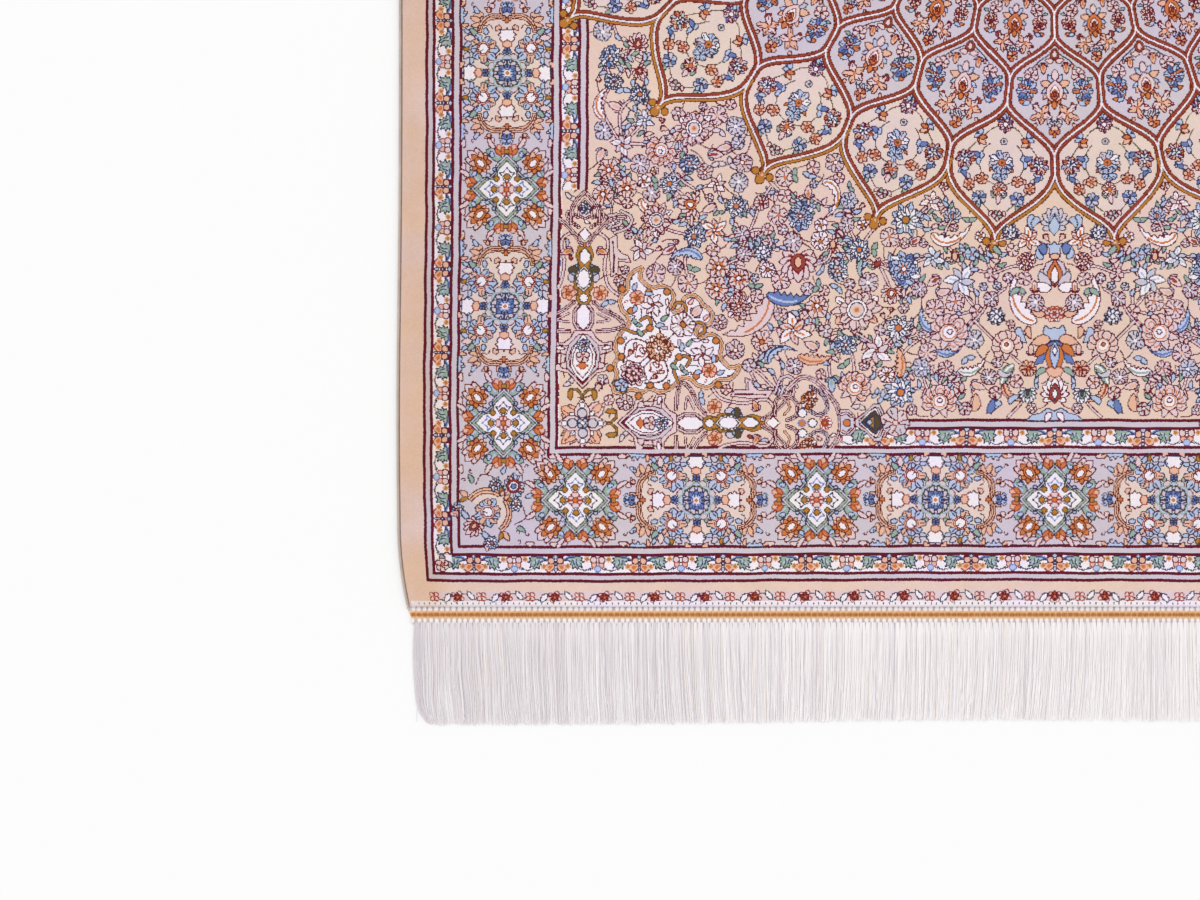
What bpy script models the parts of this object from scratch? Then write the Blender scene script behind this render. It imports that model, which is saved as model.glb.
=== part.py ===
"""A hand-knotted Persian rug lying flat, with its overcast sides, its flat-woven ends and its fringes.

Metres, +Z up. The origin is on the floor under the rug's middle, +X runs across the rug and +Y along it.
The "near" end is at -Y and the "far" end at +Y. Pieces that meet are GAP apart.
"""

import math

import bmesh
import bpy

# Driving sizes
RUG_WIDTH = 1.000  # over both overcast sides, where the rug is widest
PILE_LENGTH = 1.520  # the knotted part, from end to end
PILE_THICKNESS = 0.0045  # foundation and pile together
PILE_SHOULDER = 0.0012  # how far the pile's cut edge leans in
SIDE_CORD = 0.0030  # the overcast cord along each side
END_WEAVE_DEPTH = 0.0125  # the flat-woven band past the pile
END_WEAVE_THICKNESS = 0.0018
FRINGE_LENGTH = 0.0800  # the longest lock
LOCKS_PER_END = 150
LOCK_SHARE = 0.80  # of the spacing between locks; the rest is the gap
LOCK_TIP_THICKNESS = 0.0010
GAP = 0.0003

# How the sides run: the rug is widest at WIDEST and the corners are drawn in.
WIDEST = 0.620  # distance from the middle, along the rug
WAIST = 0.0019  # how much narrower each side is away from the widest place
WAIST_SPREAD = 0.130
CORNER_START = 0.700  # distance from the middle where the drawing in begins
CORNERS = {  # (side, end): how far the pile's corner, then the end weave's corner, is drawn in
    (-1, -1): {"pile": 0.0065, "weave": 0.0140},
    (1, -1): {"pile": 0.0048, "weave": 0.0110},
    (-1, 1): {"pile": 0.0052, "weave": 0.0115},
    (1, 1): {"pile": 0.0060, "weave": 0.0125},
}

# Steps of the modelled shapes
SIDE_STEP = 0.040
CORNER_STEP = 0.012
CORD_SIDES = 8

FINISHES = {  # colour, roughness
    "silk_pile": ((0.62, 0.43, 0.30, 1.0), 0.55),
    "side_cord": ((0.55, 0.47, 0.40, 1.0), 0.70),
    "white_warps": ((0.78, 0.76, 0.76, 1.0), 0.65),
}

HALF_LENGTH = PILE_LENGTH / 2
WEAVE_INNER = HALF_LENGTH + GAP
WEAVE_OUTER = HALF_LENGTH + END_WEAVE_DEPTH
LOCK_TIP = WEAVE_OUTER + FRINGE_LENGTH


def clear_scene():
    """Removes whatever the file holds."""
    for thing in list(bpy.data.objects):
        bpy.data.objects.remove(thing)


def finish(name):
    """The named material, made once."""
    made = bpy.data.materials.get(name)
    if made is None:
        colour, roughness = FINISHES[name]
        made = bpy.data.materials.new(name)
        made.use_nodes = True
        shader = made.node_tree.nodes["Principled BSDF"]
        shader.inputs["Base Color"].default_value = colour
        shader.inputs["Roughness"].default_value = roughness
        shader.inputs["Metallic"].default_value = 0.0
    return made


def object_from(name, mesh_tool, material):
    """Turns a bmesh into a named object that wears the material."""
    bmesh.ops.recalc_face_normals(mesh_tool, faces=mesh_tool.faces)
    mesh = bpy.data.meshes.new(name)
    mesh_tool.to_mesh(mesh)
    mesh_tool.free()
    mesh.materials.append(finish(material))
    made = bpy.data.objects.new(name, mesh)
    bpy.context.scene.collection.objects.link(made)
    return made


def rug_half_width(side, y):
    """Distance from the middle line to the rug's outer edge, at y on the given side."""
    along = abs(y)
    end = 1 if y > 0 else -1
    waist = WAIST * (1 - math.exp(-(((along - WIDEST) / WAIST_SPREAD) ** 2)))
    share = max(0.0, along - CORNER_START) / (HALF_LENGTH - CORNER_START)
    return RUG_WIDTH / 2 - waist - CORNERS[side, end]["pile"] * min(share, 1.0) ** 2


def stations():
    """Places along the rug, from the near end to the far one, closer together at the corners."""
    middle = round(2 * CORNER_START / SIDE_STEP)
    corner = round((HALF_LENGTH - CORNER_START) / CORNER_STEP)
    half = [CORNER_START + (HALF_LENGTH - CORNER_START) * i / corner for i in range(1, corner + 1)]
    inner = [-CORNER_START + 2 * CORNER_START * i / middle for i in range(middle + 1)]
    return [-y for y in reversed(half)] + inner + half


def pile_ring(mesh_tool, inset, height):
    """One closed ring of vertices round the pile, inset from its outline."""
    side_room = SIDE_CORD + GAP + inset
    places = stations()
    places[0] += inset
    places[-1] -= inset
    right = [(rug_half_width(1, y) - side_room, y) for y in places]
    left = [(-rug_half_width(-1, y) + side_room, y) for y in reversed(places)]
    return [mesh_tool.verts.new((x, y, height)) for x, y in right + left]


def knotted_pile():
    """The knotted rug itself: a thin flat slab whose top edge leans in, as cut pile does."""
    tool = bmesh.new()
    rings = [
        pile_ring(tool, 0.0, 0.0),
        pile_ring(tool, 0.0, PILE_THICKNESS - PILE_SHOULDER),
        pile_ring(tool, PILE_SHOULDER, PILE_THICKNESS),
    ]
    for lower, upper in zip(rings, rings[1:]):
        for i in range(len(lower)):
            after = (i + 1) % len(lower)
            tool.faces.new((lower[i], lower[after], upper[after], upper[i]))
    half = len(rings[0]) // 2
    for ring in (rings[0], rings[-1]):
        for i in range(half - 1):
            tool.faces.new((ring[i], ring[i + 1], ring[-2 - i], ring[-1 - i]))
    return object_from("knotted_pile", tool, "silk_pile")


def overcast_side(side, name):
    """The overcast cord down one side, from end to end of the pile."""
    tool = bmesh.new()
    radius = SIDE_CORD / 2
    rings = []
    for y in stations():
        centre = side * (rug_half_width(side, y) - radius)
        turns = [math.tau * (k + 0.5) / CORD_SIDES for k in range(CORD_SIDES)]
        flat_low = radius * math.cos(math.pi / CORD_SIDES)  # the lowest side lies on the floor
        points = [(centre + radius * math.cos(t), y, flat_low + radius * math.sin(t)) for t in turns]
        rings.append([tool.verts.new(p) for p in points])
    for near, far in zip(rings, rings[1:]):
        for k in range(CORD_SIDES):
            after = (k + 1) % CORD_SIDES
            tool.faces.new((near[k], near[after], far[after], far[k]))
    tool.faces.new(rings[0])
    tool.faces.new(rings[-1])
    return object_from(name, tool, "side_cord")


def weave_half_width(side, end, y):
    """Half the width of the end weave, which narrows from the pile's corner outwards."""
    pile = rug_half_width(side, end * HALF_LENGTH)
    outer = RUG_WIDTH / 2 - CORNERS[side, end]["weave"]
    share = (abs(y) - HALF_LENGTH) / END_WEAVE_DEPTH
    return pile + (outer - pile) * min(max(share, 0.0), 1.0)


def lock_sway(place, end):
    """How far a lock's tip leans sideways, for a place from -1 to 1 across the rug.

    The locks lean together in slow waves, so that neighbours never cross.
    """
    wave = 0.0030 * math.sin(5.3 * place + end) + 0.0012 * math.sin(17.0 * place + 2 * end)
    gather = 0.0055 * (max(0.0, abs(place) - 0.94) / 0.06) * math.copysign(1, place)
    return wave - gather


def lock_length(index, place, end):
    """A lock's length: nearly even, with a slow wave and small differences from lock to lock."""
    shortest_share = 0.955 + 0.022 * math.sin(4.1 * place + 1.3 * end)
    ripple = 0.018 * math.sin(2.399 * index) * math.cos(0.7 * index)
    share = min(1.0, shortest_share + ripple)
    return FRINGE_LENGTH * (1.0 if index == LOCKS_PER_END // 2 else share)


def fringed_end(end, name):
    """One end's flat-woven band with the locks of its fringe growing from it.

    end is -1 for the near end and 1 for the far one.
    """
    tool = bmesh.new()
    inner, outer = end * WEAVE_INNER, end * WEAVE_OUTER
    left_in, right_in = -weave_half_width(-1, end, inner), weave_half_width(1, end, inner)
    left_out, right_out = -weave_half_width(-1, end, outer), weave_half_width(1, end, outer)

    def post(x, y, top):
        """A vertex on the floor and one above it."""
        return tool.verts.new((x, y, 0.0)), tool.verts.new((x, y, top))

    def quad(a, b):
        """The upright wall between two posts."""
        tool.faces.new((a[0], b[0], b[1], a[1]))

    def lids(*posts):
        """The floor face and the top face between posts."""
        tool.faces.new([p[0] for p in posts])
        tool.faces.new([p[1] for p in posts])

    count = LOCKS_PER_END
    inner_posts = [
        post(left_in + (right_in - left_in) * i / count, inner, END_WEAVE_THICKNESS)
        for i in range(count + 1)
    ]
    spacing = (right_out - left_out) / count
    last_right = None
    for i in range(count):
        middle = left_out + spacing * (i + 0.5)
        place = middle / (RUG_WIDTH / 2)
        half = spacing * LOCK_SHARE / 2
        if i == 0:
            root_left = post(left_out, outer, END_WEAVE_THICKNESS)
        else:
            root_left = post(middle - half, outer, END_WEAVE_THICKNESS)
        right_x = right_out if i == count - 1 else middle + half
        root_right = post(right_x, outer, END_WEAVE_THICKNESS)
        sway = lock_sway(place, end)
        length = lock_length(i, place, end)
        corners = [(root_left, root_right)]
        for reach, width, top in (
            (0.5, 0.92, (END_WEAVE_THICKNESS + LOCK_TIP_THICKNESS) / 2),
            (1.0, 0.70, LOCK_TIP_THICKNESS),
        ):
            x = middle + sway * reach**2
            y = outer + end * length * reach
            corners.append((post(x - half * width, y, top), post(x + half * width, y, top)))
        for (near_left, near_right), (far_left, far_right) in zip(corners, corners[1:]):
            lids(near_left, near_right, far_right, far_left)
            quad(near_left, far_left)
            quad(near_right, far_right)
        quad(*corners[-1])
        lids(inner_posts[i], inner_posts[i + 1], root_right, root_left)
        quad(inner_posts[i], inner_posts[i + 1])
        if last_right:
            lids(inner_posts[i], root_left, last_right)
            quad(last_right, root_left)
        else:
            quad(inner_posts[0], root_left)
        last_right = root_right
    quad(inner_posts[-1], last_right)
    return object_from(name, tool, "white_warps")


def main():
    """Builds the rug."""
    clear_scene()
    knotted_pile()
    overcast_side(-1, "overcast_side_left")
    overcast_side(1, "overcast_side_right")
    fringed_end(-1, "fringed_end_near")
    fringed_end(1, "fringed_end_far")


main()
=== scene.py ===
"""The looks of a hand-knotted Persian rug with silk pile, overcast sides and a white fringe at each end.

Metres, +Z up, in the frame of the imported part: the origin is on the floor under the rug's middle, +X runs
across the rug and +Y along it. The pattern is drawn here by code as a weaver's cartoon, one colour for each
knot, and in it a place is a complex number: x + iy, in knots from the rug's middle.
"""

from __future__ import annotations

import logging
import math
from dataclasses import dataclass, field
from enum import Enum, IntEnum
from functools import partial
from typing import Any, Callable, Sequence

import bpy
import numpy as np
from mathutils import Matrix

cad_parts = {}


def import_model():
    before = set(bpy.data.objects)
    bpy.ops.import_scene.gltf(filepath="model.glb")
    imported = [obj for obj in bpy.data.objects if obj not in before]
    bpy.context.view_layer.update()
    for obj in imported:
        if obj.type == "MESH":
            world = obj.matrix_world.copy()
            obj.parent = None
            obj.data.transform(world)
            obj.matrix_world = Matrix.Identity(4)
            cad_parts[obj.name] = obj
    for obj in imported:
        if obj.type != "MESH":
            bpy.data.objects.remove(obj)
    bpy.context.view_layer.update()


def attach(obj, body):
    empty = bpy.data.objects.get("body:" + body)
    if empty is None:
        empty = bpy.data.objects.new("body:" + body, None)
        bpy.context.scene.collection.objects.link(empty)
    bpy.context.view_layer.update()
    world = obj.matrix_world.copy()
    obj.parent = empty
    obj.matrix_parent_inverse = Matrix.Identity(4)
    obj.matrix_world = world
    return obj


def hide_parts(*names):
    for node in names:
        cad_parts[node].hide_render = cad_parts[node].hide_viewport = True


log = logging.getLogger("persian_rug")


Outline = np.ndarray  # a line of complex places
EMPTY = 255  # a knot of a tile that nothing is drawn on
KNOT = 0.00076  # metres, about 13 knots to the centimetre
SIDES = {-1: "left", 1: "right"}  # by the sign of x
ENDS = {-1: "near", 1: "far"}  # by the sign of y
HALF_COLUMNS, HALF_ROWS = 654, 1002  # knots from the rug's middle to its side and to its end
FIELD_COLUMNS, FIELD_ROWS = 469, 814  # and to the field's side and end


# ---------------------------------------------------------------- the silks


class Ink(IntEnum):
    """The dyed silks of the pile, by their place on the colour ramp."""

    PEACH = 0
    LILAC = 1
    IVORY = 2
    CREAM = 3
    BLUSH = 4
    WINE = 5
    SLATE = 6
    RUST = 7
    ORANGE = 8
    MADDER = 9
    SKY = 10
    BLUE = 11
    GREEN = 12
    OLIVE = 13
    GOLD = 14
    SALMON = 15


PEACH, LILAC, IVORY, CREAM, BLUSH, WINE, SLATE, RUST = list(Ink)[:8]
ORANGE, MADDER, SKY, BLUE, GREEN, OLIVE, GOLD, SALMON = list(Ink)[8:]
SILK_HEX = {
    PEACH: "E4C8B7", LILAC: "CFC3CB", IVORY: "F0E7EA", CREAM: "E3CDC1", BLUSH: "E0C8C8", SALMON: "E3B49A",
    ORANGE: "CE7843", GOLD: "B87A34", MADDER: "9C4331", RUST: "682A1B", WINE: "621A2A", SLATE: "3A3750",
    SKY: "B6C1DA", BLUE: "6A7DB2", GREEN: "98AC9B", OLIVE: "57492F",
}
COLD = (LILAC, WINE, SKY, BLUE, GREEN, OLIVE)
# the dark silk that a shape of each silk is outlined in, unless its pen says another
USUAL_EDGE = {ink: SLATE if ink in COLD else WINE for ink in Ink} | {ORANGE: RUST, GOLD: OLIVE}


@dataclass(frozen=True)
class Silks:
    """The silks of one flower: petals, the flush inside them, the heart and the drawn outline."""

    petal: Ink
    inner: Ink
    heart: Ink
    edge: Ink


ROSE = Silks(BLUSH, SALMON, ORANGE, WINE)
BLUEBELL = Silks(SKY, BLUE, ORANGE, SLATE)
VIOLET = Silks(LILAC, SALMON, IVORY, WINE)
FLAME = Silks(BLUSH, ORANGE, IVORY, WINE)
GARNET = Silks(BLUSH, MADDER, SALMON, WINE)
PEARL = Silks(IVORY, BLUSH, GOLD, WINE)
FROST = Silks(LILAC, SKY, ORANGE, SLATE)
HAZE = Silks(LILAC, SKY, IVORY, SLATE)
MOSS = Silks(SKY, GREEN, GOLD, SLATE)
GHOST = Silks(BLUSH, LILAC, ORANGE, WINE)
EMBER = Silks(SALMON, ORANGE, GOLD, MADDER)
GLOW = Silks(SALMON, MADDER, ORANGE, WINE)
NAVY = Silks(BLUE, OLIVE, IVORY, SLATE)
CORAL = Silks(SALMON, ORANGE, GOLD, WINE)
PETAL_WHITE = Silks(BLUSH, IVORY, MADDER, WINE)
SMALL_SILKS = (VIOLET, ROSE, GARNET, HAZE, VIOLET, BLUEBELL, FLAME, GHOST, PEARL)
WARM_SILKS = (EMBER, GLOW, FLAME, BLUEBELL, GARNET, EMBER, NAVY, ROSE, GLOW)


# ---------------------------------------------------------------- outlines and pens


def ring(points: int = 14) -> Outline:
    """A circle of radius 1."""
    return np.exp(2j * math.pi * np.arange(points) / points)


def petal(half_width: float, inner: float = 0.9, outer: float = 0.5, bend: float = 0.0) -> Outline:
    """A petal or leaf from 0 to 1 along x.

    Args:
        half_width: Half its width at the widest place.
        inner: How slowly it widens from its foot.
        outer: How slowly it narrows to its tip: little gives a blunt tip, much a sharp one.
        bend: How far it curls sideways, in radians.

    Returns:
        The closed outline.
    """
    along = np.linspace(0, 1, 10)
    swell = along**inner * (1 - along) ** outer
    side = half_width * swell / swell.max()
    outline = np.concatenate([along + 1j * side, (along - 1j * side)[-2:0:-1]])
    return outline * np.exp(1j * bend * outline.real)


# a whorl's usual petals
SLIM, PLAIN, BROAD = petal(0.27, 0.9, 0.6), petal(0.31, 0.9, 0.5), petal(0.36, 0.9, 0.45)


def feather(half_width: float, bend: float, teeth: int = 6) -> Outline:
    """A long leaf from 0 to 1 along x whose inner side is cut into teeth."""
    along = np.linspace(0, 1, 5 * teeth + 1)
    side = half_width * np.sin(math.pi * along**0.7) ** 0.8
    notch = 1 - 0.55 * (along * teeth % 1.0)
    outline = np.concatenate([along - 0.45j * side, (along + 1j * side * notch)[-2:0:-1]])
    return outline * np.exp(1j * bend * outline.real)


def lobed(lobes: int, depth: float) -> Outline:
    """A closed line of radius 1 with so many round lobes."""
    turn = 2 * math.pi * np.arange(lobes * 8) / (lobes * 8)
    return (1 - depth + depth * np.abs(np.cos(lobes * turn / 2))) * np.exp(1j * turn)


def smooth(*points: complex, steps: int = 6) -> Outline:
    """A smooth curve through the points."""
    p = np.asarray(points, complex)
    p = np.concatenate([[2 * p[0] - p[1]], p, [2 * p[-1] - p[-2]]])
    t = np.linspace(0, 1, steps, endpoint=False)[:, None]
    a, b, c, d = p[:-3], p[1:-2], p[2:-1], p[3:]
    curve = 0.5 * (2 * b + (c - a) * t + (2 * a - 5 * b + 4 * c - d) * t**2 + (3 * b - a - 3 * c + d) * t**3)
    return np.append(curve.T.ravel(), p[-2])


def curl(at: complex, radius: float, turn: float, way: int = 1, turns: float = 0.6) -> Outline:
    """A tendril that leaves a place towards turn and winds in on itself."""
    t = np.linspace(0, turns * 2 * math.pi, 18)
    centre = at + 1j * way * radius * np.exp(1j * turn)
    reach = radius * (1 - 0.6 * t / t[-1])
    return centre + reach * np.exp(1j * (turn - way * math.pi / 2 + way * t))


def mirrored(*half: complex, axis: float = 0.0) -> Outline:
    """A closed outline from its half on one side of a line through the middle in the axis direction."""
    outline = np.asarray(half, complex)
    return np.concatenate([outline, (np.conj(outline) * np.exp(2j * axis))[::-1]])


def each(pen: Callable[..., None], rows: Sequence[Sequence[Any]]) -> None:
    """Lets a pen draw each row of a table."""
    for row in rows:
        pen(*row)


class Kind(Enum):
    """The flowers, by the pen that draws each."""

    FLORET = "floret"
    BLOSSOM = "blossom"
    STAR = "star"
    ROSETTE = "rosette"
    ROSE = "rose"
    LILY = "lily"
    PALMETTE = "palmette"
    TULIP = "tulip"
    PEONY = "peony"
    BUD = "bud"


FLORET, BLOSSOM, STAR, ROSETTE, FULL_ROSE, LILY, PALMETTE, TULIP, PEONY, BUD = Kind


@dataclass
class Chart:
    """A stretch of knots, as palette numbers, with the pens that draw on it in a frame of its own."""

    knots: np.ndarray
    origin: complex = 0j
    unit: complex = 1 + 0j  # which way the frame's x axis points, and the frame's scale
    flip: bool = False  # whether the frame is turned over about its x axis

    @staticmethod
    def blank(columns: int, rows: int, ground: int = EMPTY) -> Chart:
        """A chart of one ground colour."""
        return Chart(np.full((rows, columns), ground, np.uint8))

    def place(self, points: Any) -> Any:
        """Columns and rows, as complex numbers, for places in the frame."""
        points = np.asarray(points, complex)
        return self.origin + self.unit * (points.conj() if self.flip else points)

    def framed(self, origin: complex = 0j, unit: complex = 1 + 0j, flip: bool = False) -> Chart:
        """The same knots, in a frame that lies in this one."""
        way = np.conj(unit) if self.flip else unit
        return Chart(self.knots, complex(self.place(origin)), complex(self.unit * way), self.flip != flip)

    def sides(self) -> tuple[Chart, Chart]:
        """This chart, and the same one turned over about its x axis."""
        return self, self.framed(flip=True)

    def diagonals(self) -> tuple[Chart, Chart]:
        """This chart, and the same one with its columns and rows changed over."""
        return self, self.framed(unit=1j, flip=True)

    # pens
    def fill(self, outline: Outline, ink: Ink) -> None:
        """Fills a closed outline."""
        rows, columns = self.knots.shape
        outline = self.place(outline)
        x, y = outline.real, outline.imag
        left, right = max(int(x.min()), 0), min(int(x.max()) + 1, columns)
        low, high = max(int(y.min()), 0), min(int(y.max()) + 1, rows)
        if left >= right or low >= high:
            return
        x_next, y_next = np.roll(x, -1), np.roll(y, -1)
        line = (np.arange(low, high) + 0.5)[:, None]
        rise = np.where(y_next == y, 1e-9, y_next - y)
        cut = x + (line - y) * (x_next - x) / rise
        crossed = (y > line) != (y_next > line)
        place = np.arange(left, right)[None, :, None] + 0.5
        inside = ((place < cut[:, None, :]) & crossed[:, None, :]).sum(2) % 2 == 1
        self.knots[low:high, left:right][inside] = ink

    def line(self, path: Outline, ink: Ink, width: float = 1.0, closed: bool = False) -> None:
        """Draws a line of the given width in knots."""
        path = self.place(path)
        path = np.append(path, path[0]) if closed else path
        along = np.concatenate([[0.0], np.cumsum(np.abs(np.diff(path)))])
        at = np.interp(np.linspace(0, along[-1], int(along[-1] / 0.45) + 2), along, path)
        rows, columns = self.knots.shape
        column, row = np.floor(at.real).astype(int), np.floor(at.imag).astype(int)
        if width > 1.0:
            reach = np.arange(-math.ceil(width / 2), math.ceil(width / 2) + 1)
            wide = column[:, None, None] + reach[None, None, :]
            high = row[:, None, None] + reach[None, :, None]
            column, row = np.broadcast_arrays(wide, high)
            near = np.hypot(column + 0.5 - at.real[:, None, None],
                            row + 0.5 - at.imag[:, None, None]) <= width / 2
            column, row = column[near], row[near]
        keep = (column >= 0) & (column < columns) & (row >= 0) & (row < rows)
        self.knots[row[keep], column[keep]] = ink

    def shape(self, outline: Outline, ink: Ink, edge: Ink | None = None) -> None:
        """Fills an outline and draws round it."""
        self.fill(outline, ink)
        self.line(outline, USUAL_EDGE[ink] if edge is None else edge, closed=True)

    def dot(self, at: complex, radius: float, ink: Ink) -> None:
        """A round dot without an outline."""
        self.fill(at + radius * ring(), ink)

    def disc(self, at: complex, radius: float, ink: Ink, edge: Ink | None = None) -> None:
        """A round dot with a drawn edge."""
        self.shape(at + radius * ring(), ink, edge)

    def band(self, path: Outline, width: float, ink: Ink, edge: Ink | None = None) -> None:
        """A ribbon with a drawn line down each side."""
        self.line(path, USUAL_EDGE[ink] if edge is None else edge, width + 2)
        self.line(path, ink, width)

    def whorl(self, at: complex, radius: float, count: int, leaf: Outline, edge: Ink, *inks: Ink,
              turn: float = 0.0, flush: Ink | None = None) -> None:
        """Sets petals round a point.

        Args:
            at: The middle of the flower.
            radius: How far the petals reach.
            count: How many there are.
            leaf: The outline of one, from 0 to 1 along x.
            edge: The silk of the drawn outline.
            inks: The petals' silks, in turn.
            turn: Which way the first one points.
            flush: The silk of the deeper colour at each petal's foot.
        """
        spot = complex(self.place(at))
        for k in range(count):
            uneven = math.sin(7.3 * k + spot.real + 1.7 * spot.imag)  # no two petals are quite alike
            angle = turn + 0.12 * uneven + 2 * math.pi * k / count
            spoke = radius * (1 + 0.12 * uneven) * np.exp(1j * angle)
            narrowed, ripple = 1 - 0.18 * uneven, 1 + 0.22 * np.cos(11 * leaf.real + 5 * uneven)
            outline = leaf.real + 1j * leaf.imag * narrowed * ripple
            self.shape(at + spoke * outline, inks[k % len(inks)], edge)
            if flush is not None:
                self.fill(at + spoke * (0.14 + 0.4 * leaf), flush)
            if radius > 7.5:
                self.line(at + spoke * np.array([0.56, 0.84]) * np.exp(0.1j * uneven), edge)

    # flowers: each takes its middle, its reach, its silks and the way it faces
    def floret(self, at: complex, radius: float, silks: Silks, turn: float = 0.3) -> None:
        """A small flat flower of five round petals."""
        self.whorl(at, radius, 5, petal(0.44, 0.9, 0.35), silks.edge, silks.petal, turn=turn)
        self.dot(at, max(radius * 0.2, 1.0), silks.heart)

    def blossom(self, at: complex, radius: float, silks: Silks, turn: float = 0.2) -> None:
        """A flower of six petals, flushed at the foot, round a drawn heart."""
        self.whorl(at, radius, 6, petal(0.4), silks.edge, silks.petal, turn=turn, flush=silks.inner)
        self.disc(at, max(radius * 0.22, 1.6), silks.heart, silks.edge)

    def star(self, at: complex, radius: float, silks: Silks, turn: float = 0.0) -> None:
        """A flower of eight pointed petals, long and short ones in turn."""
        eighth = turn + math.pi / 8
        self.whorl(at, radius, 8, petal(0.26, 0.9, 1.0), silks.edge, silks.petal, turn=eighth,
                   flush=silks.inner)
        self.whorl(at, radius * 0.74, 8, petal(0.3, 0.9, 0.8), silks.edge, IVORY, turn=turn,
                   flush=silks.inner)
        self.disc(at, radius * 0.24, silks.heart, silks.edge)

    def rosette(self, at: complex, radius: float, silks: Silks, turn: float = 0.0) -> None:
        """A close round flower: a ring of small lobes, a ring of petals and a heart."""
        self.whorl(at, radius, 11, SLIM, silks.edge, silks.petal, IVORY, silks.inner, turn=turn)
        if radius > 11:
            self.whorl(at, radius * 0.78, 9, SLIM, silks.edge, silks.petal, turn=turn + 0.4)
        self.whorl(at, radius * 0.56, 6, BROAD, silks.edge, silks.petal, turn=turn, flush=silks.heart)
        self.disc(at, max(radius * 0.14, 1.1), IVORY, silks.edge)

    def rose(self, at: complex, radius: float, silks: Silks, turn: float = 0.1) -> None:
        """A large full flower: two rings of petals round a ringed heart."""
        self.whorl(at, radius, 12, petal(0.21, 0.9, 0.7), silks.edge, silks.petal, IVORY, silks.petal,
                   silks.inner, turn=turn)
        self.whorl(at, radius * 0.8, 9, SLIM, silks.edge, silks.petal, turn=turn + 0.3, flush=silks.inner)
        for share, ink, edge in (
            (0.44, IVORY, silks.edge), (0.31, silks.petal, SLATE), (0.13, silks.heart, silks.inner),
        ):
            self.disc(at, radius * share, ink, edge)

    def lily(self, at: complex, radius: float, silks: Silks, turn: float = 0.5) -> None:
        """A star of narrow bending petals, each with a drawn rib."""
        for k in range(6):
            spoke = radius * (1.0 - 0.2 * (k % 2)) * np.exp(1j * (turn + 2 * math.pi * k / 6))
            self.shape(at + spoke * petal(0.25, 0.8, 1.0, 0.3), silks.petal if k % 2 else IVORY, silks.edge)
            self.line(at + spoke * np.linspace(0.15, 0.6, 6) * np.exp(0.12j), silks.inner,
                      1.8 if radius > 12 else 1.0)
        self.disc(at, 1.6, silks.heart, silks.edge)

    def palmette(self, at: complex, radius: float, silks: Silks, turn: float = 0.0) -> None:
        """A flower seen from the side: a fan of pointed petals over a heart, opening towards turn."""
        point, leaf = radius * np.exp(1j * turn), petal(0.24, 0.8, 0.8)
        for spread in (2.1, -2.1, 1.5, -1.5, 0.95, -0.95, 0.45, -0.45, 0.0):
            way = (1.0 - 0.1 * abs(spread)) * point * np.exp(1j * spread)
            self.shape(at + way * leaf, silks.petal, silks.edge)
            self.fill(at + way * (0.2 + 0.45 * leaf), silks.inner)
        self.shape(at - 0.3 * point + 0.85 * point * petal(0.4, 0.6, 0.8), silks.inner, silks.edge)
        self.shape(at - 0.15 * point + 0.5 * point * petal(0.34, 0.6, 0.8), silks.heart, silks.edge)

    def tulip(self, at: complex, radius: float, silks: Silks, turn: float = 0.0) -> None:
        """A cup of three petals that opens towards turn, on a small calyx."""
        point = radius * np.exp(1j * turn)
        for side in (1, -1):
            outer = petal(0.26, 0.6, 0.9, 0.75 * side) * np.exp(-0.35j * side)
            self.shape(at - 0.5 * point + 1.25 * point * outer, silks.petal, silks.edge)
        self.shape(at - 0.4 * point + point * petal(0.26, 0.7, 0.8), silks.inner, silks.edge)
        self.disc(at - 0.5 * point, max(0.18 * radius, 1.0), silks.heart, silks.edge)

    def peony(self, at: complex, radius: float, silks: Silks, turn: float = 0.0) -> None:
        """A half-turned full flower: a crescent of frilled petals round a ringed heart."""
        point = radius * np.exp(1j * turn)
        for spread in (1.9, -1.9, 1.35, -1.35, 0.85, -0.85, 0.4, -0.4, 0.0):
            way = point * np.exp(1j * spread)
            self.shape(at + way * petal(0.26, 0.9, 0.4), silks.petal, silks.edge)
            self.shape(at + 0.78 * way * petal(0.2, 0.9, 0.4), silks.petal, silks.inner)
        for spread in (2.7, -2.7):
            self.shape(at + 0.95 * point * np.exp(1j * spread) * petal(0.22, 0.7, 0.9), silks.petal,
                       silks.edge)
        for share, shift, ink, edge in (
            (0.46, 0.0, CREAM, silks.edge), (0.33, 0.05, IVORY, silks.inner),
            (0.13, 0.1, silks.heart, silks.edge),
        ):
            self.disc(at + shift * point, radius * share, ink, edge)

    def bud(self, at: complex, radius: float, silks: Silks, turn: float = 0.0) -> None:
        """A closed flower between two small leaves."""
        point = radius * np.exp(1j * turn)
        for side in (1, -1):
            self.shape(at - 0.6 * point + 0.9 * point * np.exp(0.9j * side) * petal(0.24, 0.7, 0.9), SKY,
                       silks.edge)
        self.shape(at - 0.6 * point + 1.7 * point * petal(0.25, 0.6, 0.8), silks.petal, silks.edge)
        self.fill(at - 0.45 * point + 1.0 * point * petal(0.2, 0.6, 0.8), silks.inner)

    # leaves
    def leaf(self, at: complex, length: float, turn: float, ink: Ink, bend: float = 0.6, width: float = 0.26,
             edge: Ink | None = None) -> None:
        """A small curved leaf from its foot at a place, pointing towards turn; width is half the real one."""
        self.shape(at + length * np.exp(1j * turn) * petal(width, 0.7, 0.9, bend), ink, edge)

    def plume(self, at: complex, length: float, turn: float, ink: Ink, spine: Ink, bend: float = 1.3) -> None:
        """A long feathery leaf with a coloured spine, toothed on its inner side."""
        reach = length * np.exp(1j * turn)
        self.shape(at + reach * feather(0.26 * math.copysign(1, bend), bend), ink)
        rib = np.linspace(0.08, 0.72, 12)
        self.line(at + reach * rib * np.exp(1j * bend * rib), spine, 2.0)

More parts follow.
